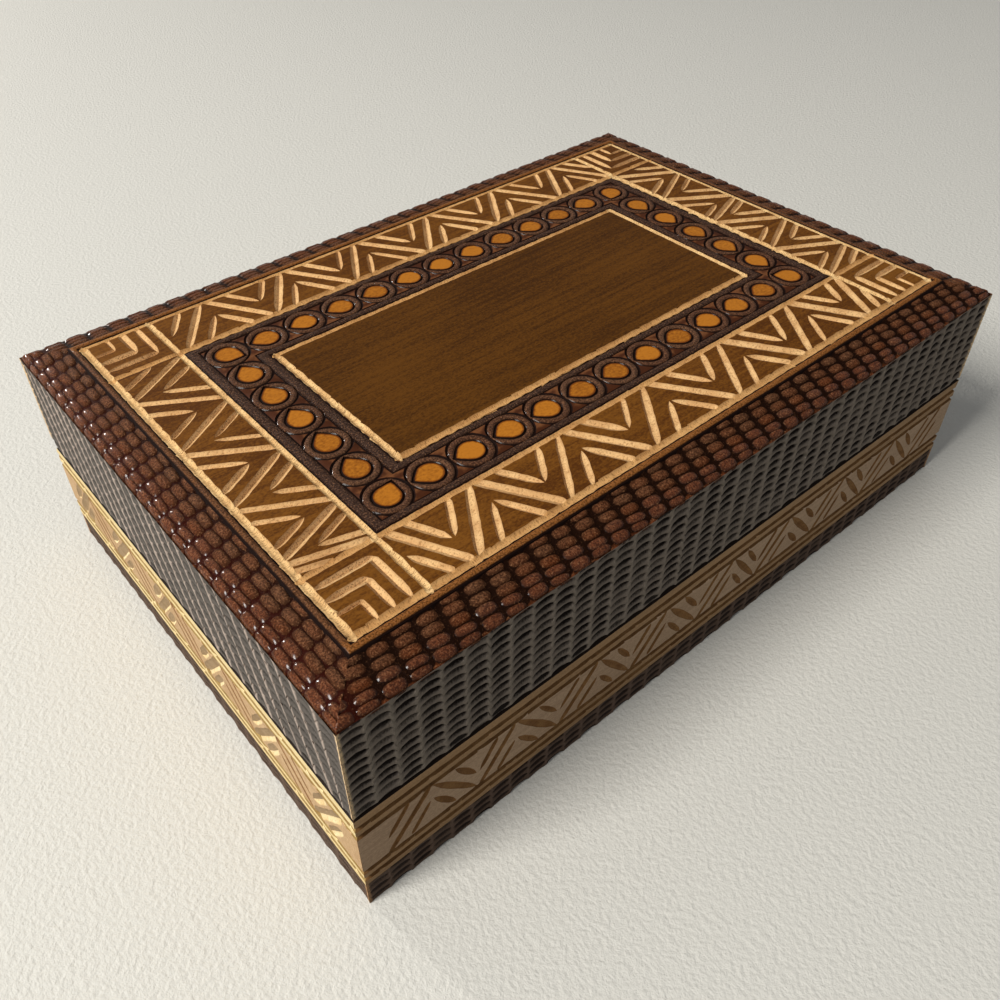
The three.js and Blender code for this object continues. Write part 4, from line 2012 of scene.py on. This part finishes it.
    def beads(self) -> list[Bead]:
        """Sets out the beads inside the inner frame, round the panel and outside the outer frame.

        Returns:
            The beads.
        """
        half, line = self.line_width / 2, Bead.LINE
        (inner_x, inner_y), (panel_x, panel_y) = self.inner_frame, self.panel_frame
        (outer_x, outer_y), (ring_x, ring_y) = self.outer_frame, self.ring_line
        reach = Ring.RADIUS - self.bead_overlap
        corner_x, corner_y = self.sizes.corner
        rim = (corner_x - self.field_inset - line, corner_y - self.field_inset - line)
        return [
            Bead((ring_x + reach, ring_y + reach), (inner_x - half - line, inner_y - half - line)),
            Bead((panel_x + half + line, panel_y + half + line), (ring_x - reach, ring_y - reach)),
            Bead((outer_x + half + line, outer_y + half + line), rim, Paint.RIM),
        ]

    def pebbles(self) -> list[Pebble]:
        """Sets out rows of pebbles in each column of the border, set off in every second one.

        Returns:
            The pebbles.
        """
        chance = np.random.default_rng(self.seed + 2)
        along_by, inset_by = self.PEBBLE_PLACES
        found = []
        for side in Side:
            slant = self.SLANTS[side]
            count = self.columns.count(side)
            pitch = 2 * side.half_length(self.sizes) / count
            for i in range(count):
                along = (i + 0.5) * pitch - side.half_length(self.sizes)
                rows = self.PEBBLE_ROWS[i % 2]
                for low, high in zip(rows, rows[1:]):
                    inset, across = (high + low) / 2, (high - low) / 2
                    slide = slant * (inset - self.border / 2)
                    middle = (
                        along + slide + chance.uniform(-along_by, along_by),
                        inset + chance.uniform(-inset_by, inset_by),
                    )
                    half = (
                        self.PEBBLE_HALF[side] * chance.uniform(*self.PEBBLE_LENGTHS),
                        across * chance.uniform(*self.PEBBLE_WIDTHS),
                    )
                    turn = chance.uniform(-self.PEBBLE_TURN, self.PEBBLE_TURN)
                    turn -= self.SLANT_TURN * slant
                    pebble = Pebble(self.sizes, side, middle, half, turn, chance.uniform())
                    if pebble.worth_cutting():
                        found.append(pebble)
        return found

    def ground(self, plan: Array) -> Relief:
        """Finish and height of the lid before the forms are cut.

        Args:
            plan: Points of the lid.

        Returns:
            Their relief.
        """
        relief = Relief.flat(len(plan), Paint.PEBBLE)
        relief.height[:] = -Pebble.GROOVE
        relief.crest[:] = 0
        x, y = np.abs(plan[:, 0]), np.abs(plan[:, 1])
        relief.set(self.inset(plan) > self.border, Paint.BURNT, self.RIM_GROUND, 0)
        steps = (
            (self.outer_frame, Paint.GROUND, 0.0),
            (self.inner_frame, Paint.TAN, -Ring.GROUND),
            (self.panel_frame, Paint.PANEL, 0.0),
        )
        for half, paint, height in steps:
            relief.set((x < half[0]) & (y < half[1]), paint, height, 1)
        return relief

    def inset(self, plan: Array) -> Array:
        """Distance in from the nearest side."""
        half = np.array([self.sizes.length, self.sizes.width]) / 2
        return (half - np.abs(plan)).min(-1)

    def surface(self, inset: Array) -> Array:
        """Height of the uncut top, which is flat, then slopes and is rounded off.

        Args:
            inset: Distances from the edge.

        Returns:
            The height at each.
        """
        slope = self.border_slope * np.maximum(self.field_inset - inset, 0)
        drop = self.edge_drop * np.exp(-np.maximum(inset, 0) / self.edge_round)
        return self.sizes.height - slope - drop - self.border_step * (inset < self.field_inset)

    def build(self) -> Piece:
        """Makes the board as one closed mesh.

        Returns:
            The piece.
        """
        skin = Skin()
        top, foot = [], []
        for side in Side:
            low, high = self.sizes.board_underside, self.edge_z
            grid = self.columns.grid(side, low, high, fade=self.edge_fade)
            points = grid.add(skin, self.sizes, side, self.columns.paint(side))
            top.append(points[:-1, -1, :2])
            foot.append(points[:-1, 0, :2])
        self.add_top(skin, np.vstack(top))
        self.add_underside(skin, np.vstack(foot))
        piece = skin.build("carved_lid_top", self.finishes)
        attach(piece, "lid")
        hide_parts("lid_top_board")
        return piece

    def add_top(self, skin: Skin, boundary: Array) -> None:
        """Adds the carved top.

        Args:
            skin: Where to add it.
            boundary: The scalloped loop of its edge.
        """
        forms = [*self.beads(), *self.rings(), *self.pebbles()]
        forms += [*self.zigzags(), *self.corner_strokes(), *self.frame_lines()]
        face = CarvedPlan(forms).face(boundary, self.ground, partial(inside_loop, boundary))
        points, edge = face.points, face.on_boundary
        z = np.where(edge, self.edge_z, self.surface(self.inset(points)) + face.relief.height)
        crest = np.where(edge, 0.5, face.relief.crest)
        skin.add(np.column_stack([points, z]), face.faces, face.paints, crest, face.relief.tone)

    def add_underside(self, skin: Skin, boundary: Array) -> None:
        """Adds the plain underside.

        Args:
            skin: Where to add it.
            boundary: The loop of its edge.
        """
        points, faces, _ = CarvedPlan([]).triangles(boundary, partial(inside_loop, boundary))
        z = np.full(len(points), self.sizes.board_underside)
        skin.add(np.column_stack([points, z]), faces, Paint.PLAIN)


# Walls


@dataclass
class SideWall:
    """A wall of the lid or the base, mitred at both ends, with a little room at each mitre."""

    sizes: BoxSizes
    columns: GougedColumns
    finishes: dict[Paint, Material]
    side: Side
    joint: float = 0.05

    def place(self, along: Values, inset: Values, z: Values) -> Array:
        """Points of the wall, drawn in towards its mitres."""
        return mitred(self.sizes, self.side, along, inset, z, self.joint)

    def add_shell(self, skin: Skin, rows: list[tuple[Values, ...]], paints: list[Paint]) -> None:
        """Adds strips that run along the wall between rows of points.

        Args:
            skin: Where to add them.
            rows: Each row's places along the wall, and its inset and height, which may be
                numbers or one for each place.
            paints: Finish of each strip between two rows.
        """
        count = len(rows[0][0])
        faces = [(i, i + 1, i + 1 + count, i + count) for i in range(count - 1)]
        for low, high, paint in zip(rows, rows[1:], paints):
            skin.add(np.vstack([self.place(*low), self.place(*high)]), faces, paint)

    def add_caps(self, skin: Skin, along: Array, outer: list[Array], inner: list[Pair]) -> None:
        """Closes the wall's two ends.

        Args:
            skin: Where to add them.
            along: Places of the upright lines, of which the first and last lie at the ends.
            outer: Points of the outer face's left and right edges, from the foot up.
            inner: Inset and height of the section's other corners.
        """
        for end, edge in zip((0, -1), outer):
            cap = np.vstack([edge, self.place(along[end], *zip(*inner))])
            skin.add(cap, [tuple(range(len(cap)))], Paint.PLAIN)


@dataclass
class LidWall(SideWall):
    """A wall of the lid, gouged all over its outer face.

    Attributes:
        ease: Width and height of the slope that eases its lower outer edge, painted dark as the
            shade of the gap over the base.
    """

    ease: Pair = (1.1, 0.15)

    def build(self) -> Piece:
        """Makes the wall as one closed mesh.

        Returns:
            The piece.
        """
        low, high, wall = self.sizes.lid_bottom, self.sizes.board_underside, self.sizes.wall
        edge = low + self.ease[1]
        paint = self.columns.paint(self.side)
        skin = Skin()
        grid = self.columns.grid(self.side, edge, high, foot=True)
        points = grid.add(skin, self.sizes, self.side, paint, self.joint)
        along = grid.along[:, 0]
        head = (grid.along[:, -1], grid.inset[:, -1], high)
        foot = (along, grid.inset[:, 0], edge)
        inner = [(wall, high), (wall, low), (self.ease[0], low)]
        # The eased lower edge is painted dark as the shade of the gap.
        paints = [paint, Paint.PLAIN, Paint.PLAIN, Paint.BURNT]
        self.add_shell(skin, [head, *((along, *row) for row in inner), foot], paints)
        self.add_caps(skin, along, [points[0], points[-1]], inner)
        piece = skin.build(f"carved_lid_{self.side.label}", self.finishes)
        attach(piece, "lid")
        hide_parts(f"lid_{self.side.label}_wall")
        return piece


@dataclass
class BaseWall(SideWall):
    """A wall of the base: a pale carved band over a dark gouged skirt.

    Attributes:
        ease: Width and height of the slope that eases its upper outer edge, painted dark as the
            shade of the gap under the lid.
        skirt: Height of the gouged skirt.
        skirt_cut: Depth of its gouging, as a share of the lid's.
        lines: Heights of the band's cut lines, which run past the wall's ends.
        low: Height at which the zigzag's lower turns stand.
        high: Height at which its upper turns stand.
        periods: Its periods on a long and a short side.
        wander: The most that a turn lies off its place.
        rabbet: Depth and height of the rabbet that holds the bottom board.
    """

    ease: Pair = (0.8, 0.4)
    skirt: float = 7.0
    skirt_cut: float = 0.5
    lines: tuple[float, ...] = (8.9, 11.3, 23.0, 25.6)
    line_width: float = 1.3
    line_depth: float = 0.5
    line_overrun: float = 2
    low: float = 12.0
    high: float = 22.3
    periods: tuple[int, int] = (9, 6)
    wander: float = 0.5
    rabbet: Pair = (4.5, 4.5)

    STROKES = {
        "depth": 0.42,
        "rise": 0.58,
        "rising": Paint.BAND_RISING,
        "falling": Paint.BAND_FALLING,
    }
    ELSEWHERE = {"width": 1.4, "stout": 1.15, "torn": None, "taper": 0.16, "blunt": 0.45}
    # On the left, the wide wall of each rising stroke is painted as shade.
    ON_LEFT = {"width": 2.9, "stout": 0.38, "torn": Paint.BAND_SHADE, "taper": 0.12, "lean": -0.5}
    TURN_SEED = 40
    STROKE_SEED = 50

    def forms(self) -> list[Cut]:
        """Cuts the zigzag and then the lines, in distance along the wall and height.

        Returns:
            The band's strokes and lines.
        """
        half = self.side.half_length(self.sizes)
        count = 2 * self.periods[self.side.value % 2]
        step = 2 * half / count
        chance = np.random.default_rng(self.TURN_SEED + self.side.value)
        places = [-half + (i + 0.5) * step for i in range(count)]
        turns = tuple(place + chance.uniform(-self.wander, self.wander) for place in places)
        strokes = self.STROKES | (self.ON_LEFT if self.side is Side.LEFT else self.ELSEWHERE)
        seed = self.STROKE_SEED + self.side.value
        cuts = ZigzagBand(turns, self.low, self.high, seed=seed, **strokes).strokes()
        reach = half + self.line_overrun
        size = (self.line_width, self.line_depth, (1, 1))
        for phase, z in enumerate(self.lines):
            cuts.append(Cut((-reach, z), (reach, z), *size, 0, True, phase, Paint.BAND_LINE))
        return cuts

    def ground(self, points: Array) -> Relief:
        """Finish of the band before it is cut: its middle, and the rails above and below.

        Args:
            points: Places along the wall and heights.

        Returns:
            Their relief.
        """
        relief = Relief.flat(len(points), Paint.BAND_RAIL)
        middle = (points[:, 1] > self.lines[1]) & (points[:, 1] < self.lines[2])
        relief.paint[middle] = int(Paint.BAND)
        return relief

    def build(self) -> Piece:
        """Makes the wall as one closed mesh.

        Returns:
            The piece.
        """
        top, wall = self.sizes.base_top, self.sizes.wall
        edge = top - self.ease[1]
        skin = Skin()
        grid = self.columns.grid(self.side, 0, self.skirt, self.skirt_cut, upright=True)
        skirt = grid.add(skin, self.sizes, self.side, Paint.SKIRT, self.joint)
        along = grid.along[:, 0]
        band = self.add_band(skin, along, edge)
        ledge = [(along, inset, self.skirt) for inset in (grid.inset[:, -1], 0.0)]
        self.add_shell(skin, ledge, [Paint.SKIRT])
        depth, height = self.rabbet
        inner = [(self.ease[0], top), (wall, top), (wall, height), (depth, height), (depth, 0.0)]
        rows = [(along, *row) for row in ((0.0, edge), *inner)]
        foot = (along, grid.inset[:, 0], 0.0)
        # The eased upper edge is painted dark as the shade of the gap.
        self.add_shell(skin, [*rows, foot], [Paint.BURNT] + [Paint.PLAIN] * len(inner))
        outer = [np.vstack([skirt[end], band[end]]) for end in (0, -1)]
        self.add_caps(skin, along, outer, inner)
        piece = skin.build(f"carved_base_{self.side.label}", self.finishes)
        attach(piece, "base")
        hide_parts(f"base_{self.side.label}_wall")
        return piece

    def add_band(self, skin: Skin, along: Array, top: float) -> list[Array]:
        """Adds the carved band.

        Args:
            skin: Where to add it.
            along: Places of the upright lines, which its lower and upper edges share.
            top: Height of the band's upper edge.

        Returns:
            The points at its left and right ends, from the foot up.
        """
        half = self.side.half_length(self.sizes)
        low = np.column_stack([along, np.full(len(along), self.skirt)])
        high = np.column_stack([along, np.full(len(along), top)])
        plan = CarvedPlan(self.forms())
        face = plan.face(np.vstack([low, high[::-1]]), self.ground, partial(inside_half, half))
        points, relief = face.points, face.relief
        used, renumbered = np.unique(face.faces, return_inverse=True)
        faces = renumbered.reshape(face.faces.shape)
        shown = self.place(points[used, 0], -relief.height[used], points[used, 1])
        skin.add(shown, faces, face.paints, relief.crest[used], relief.tone[used])
        ends = []
        for edge in (-half, half):
            found = np.flatnonzero(np.abs(points[:, 0] - edge) < plan.EPSILON)
            found = found[np.argsort(points[found, 1])]
            depth = -relief.height[found]
            depth[[0, -1]] = 0
            ends.append(self.place(edge, depth, points[found, 1]))
        return ends


# Hinges


@dataclass
class HingeSeats:
    """The chamfer and the mortises that the hinges leave in the walls.

    Attributes:
        angle: Slope of the chamfered back edge.
        play: Room round a leaf.
        leaf: Thickness of a leaf.
        barrel: Radius of the pocket round the knuckles.
        end_room: Room for a pin's head past a leaf's end.
    """

    sizes: BoxSizes
    angle: float = math.radians(51.5)
    play: float = 0.3
    leaf: float = 0.875
    barrel: float = 2.05
    end_room: float = 0.7

    PAST = 1.0
    ARC_STEPS = 20

    def chamfer(self, upper: int, slots: list[Material]) -> Piece:
        """Wedge along the back edge.

        Args:
            upper: 1 for the lid's edge and -1 for the base's.
            slots: The wall's materials.

        Returns:
            The solid to cut away.
        """
        y, z = self.sizes.axis_y, self.sizes.axis_z
        run = self.sizes.width / 2 - y + self.PAST
        below = z - upper * self.PAST
        slope = (y + run, z + upper * (run * math.tan(self.angle)))
        profile = [(y, below), (y, z), slope, (y + run, below)]
        return prism("chamfer", profile, -self.sizes.length, self.sizes.length, slots)

    def mortises(self, upper: int, slots: list[Material]) -> list[Piece]:
        """Pockets of both hinges' leaves and knuckles.

        Args:
            upper: 1 for the lid's wall and -1 for the base's.
            slots: The wall's materials.

        Returns:
            The solids to cut away.
        """
        y, z = self.sizes.axis_y, self.sizes.axis_z
        body = "lid" if upper > 0 else "base"
        floor = z + upper * (abs(self.sizes.lid_bottom - z) + self.leaf)
        below = z - upper * self.PAST
        angles = np.linspace(0, 2 * math.pi, self.ARC_STEPS, endpoint=False)
        arc = [(y + self.barrel * math.cos(a), z + self.barrel * math.sin(a)) for a in angles]
        pockets = []
        for label in ("left", "right"):
            low, high = (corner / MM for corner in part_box(f"hinge_{label}_{body}_leaf"))
            back = low.y - self.play
            leaf = [(back, below), (back, floor), (y, floor), (y, below)]
            x0, x1 = low.x - self.play, high.x + self.play
            pockets.append(prism("leaf_pocket", leaf, x0, x1, slots))
            x0, x1 = low.x - self.end_room - self.play, high.x + self.end_room + self.play
            pockets.append(prism("barrel_pocket", arc, x0, x1, slots))
        return pockets

    def cut(self, piece: Piece, upper: int, side: Side) -> None:
        """Cuts the seats that a wall has. The front has none.

        Args:
            piece: The wall.
            upper: 1 for a wall of the lid and -1 for one of the base.
            side: Its side.
        """
        if side is Side.FRONT:
            return
        slots = [*piece.data.materials]
        cutters = [self.chamfer(upper, slots)]
        if side is Side.BACK:
            cutters += self.mortises(upper, slots)
        cut_away(piece, cutters)


# Surroundings


@dataclass(frozen=True)
class Lamp:
    """A square lamp that faces the box. Its place and its width are in metres."""

    name: str
    place: Triple
    size: float
    watts: float
    colour: Triple

    def build(self) -> None:
        """Sets up the lamp."""
        data = bpy.data.lights.new(self.name, "AREA")
        data.size = self.size
        data.energy = self.watts
        data.color = self.colour
        lamp = placed(self.name, data)
        lamp.location = self.place
        lamp.rotation_mode = "QUATERNION"
        lamp.rotation_quaternion = (-Vector(self.place)).to_track_quat("-Z", "Y")


@dataclass
class Studio:
    """Camera, lights and floor. The camera's lengths are in millimetres, the floor's in metres.

    Attributes:
        camera_aim: What the camera looks at.
        near: The nearest that it sees, in metres.
        floor_drop: How far the floor lies below the box.
        floor_bounce: The colour that it throws on the box.
    """

    camera_place: Triple = (-120.2, -132.2, 168.0)
    camera_aim: Triple = (-20.8, -10.7, 26.7)
    camera_roll: float = math.radians(-1.02)
    focal_length: float = 34.41
    sensor_width: float = 36.0
    shift: Pair = (0.0178, -0.0224)
    near: float = 0.01
    floor_reach: float = 3.0
    floor_drop: float = 0.0001
    floor_colour: Colour = (226, 223, 214)
    floor_bounce: Colour = (150, 147, 140)
    world_colour: Triple = (0.93, 0.96, 1.0)
    world_strength: float = 0.22
    lamps: tuple[Lamp, ...] = (
        Lamp("key", (-1.06, 0.06, 1.04), 0.5, 21.5, (1.0, 0.985, 0.95)),
        Lamp("glint", (-0.3, 1.25, 0.36), 0.08, 5.0, (1.0, 0.98, 0.95)),
    )

    def build(self) -> None:
        """Sets up everything round the box."""
        self.add_camera()
        self.add_floor()
        self.add_world()
        for lamp in self.lamps:
            lamp.build()
        bpy.context.scene.view_settings.view_transform = "Standard"

    def add_camera(self) -> None:
        """Places the camera as the photograph was taken."""
        data = bpy.data.cameras.new("camera")
        data.sensor_width = self.sensor_width
        data.lens = self.focal_length
        data.shift_x, data.shift_y = self.shift
        data.clip_start = self.near
        place, aim = Vector(self.camera_place) * MM, Vector(self.camera_aim) * MM
        turn = (aim - place).to_track_quat("-Z", "Y").to_matrix().to_4x4()
        roll = Matrix.Rotation(self.camera_roll, 4, "Z")
        camera = placed("camera", data)
        camera.matrix_world = Matrix.Translation(place) @ turn @ roll
        bpy.context.scene.camera = camera

    def add_floor(self) -> None:
        """Lays a wide pale floor with a fine tooth."""
        reach = self.floor_reach
        corners = [(-reach, -reach, 0), (reach, -reach, 0), (reach, reach, 0), (-reach, reach, 0)]
        mesh = bpy.data.meshes.new("floor")
        mesh.from_pydata(corners, [], [(0, 1, 2, 3)])
        floor = placed("floor", mesh)
        floor.location.z = -self.floor_drop
        shade = Shade("pale_floor")
        path = shade.nodes.new("ShaderNodeLightPath")
        seen = path.outputs["Is Camera Ray"]
        for other in ("Is Glossy Ray", "Is Transmission Ray"):
            seen = shade.maths("MAXIMUM", seen, path.outputs[other])
        shade.bump(shade.noise(1.15, (1, 1, 1), 4, 0.6), 0.36)
        colour = shade.mix(seen, self.floor_bounce, self.floor_colour)
        mesh.materials.append(shade.finish(colour, 0.7, 0.3))

    def add_world(self) -> None:
        """Gives even soft light from all round."""
        world = bpy.data.worlds.new("soft_light")
        world.use_nodes = True
        background = world.node_tree.nodes["Background"]
        background.inputs["Color"].default_value = (*self.world_colour, 1.0)
        background.inputs["Strength"].default_value = self.world_strength
        bpy.context.scene.world = world


def dress(names: list[str], finish: Finish) -> None:
    """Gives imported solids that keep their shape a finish.

    Args:
        names: Names of their nodes.
        finish: The finish.
    """
    for name in names:
        node = frame["nodes"][name]
        node.data.materials.clear()
        node.data.materials.append(made(finish))


def report(piece: Piece) -> None:
    """Logs a piece's name and number of faces."""
    LOG.info("%s: %d faces", piece.name, len(piece.data.polygons))


def main() -> None:
    """Builds the box's pieces in order and sets up the studio."""
    logging.basicConfig(level=logging.INFO, format="%(name)s %(message)s")
    Studio().build()
    sizes = BoxSizes.from_frame()
    finishes = lid_finishes(sizes)
    columns = GougedColumns(sizes)
    seats = HingeSeats(sizes)
    report(LidTop(sizes, columns, finishes).build())
    for side in Side:
        lid_wall = LidWall(sizes, columns, finishes, side).build()
        seats.cut(lid_wall, 1, side)
        report(lid_wall)
        base_wall = BaseWall(sizes, columns, base_finishes(sizes, side), side).build()
        seats.cut(base_wall, -1, side)
        report(base_wall)
    dress(["base_bottom_board"], INSIDE)
    dress([name for name in frame["nodes"] if name.startswith("hinge_")], BRASS)


if __name__ == "__main__":
    main()
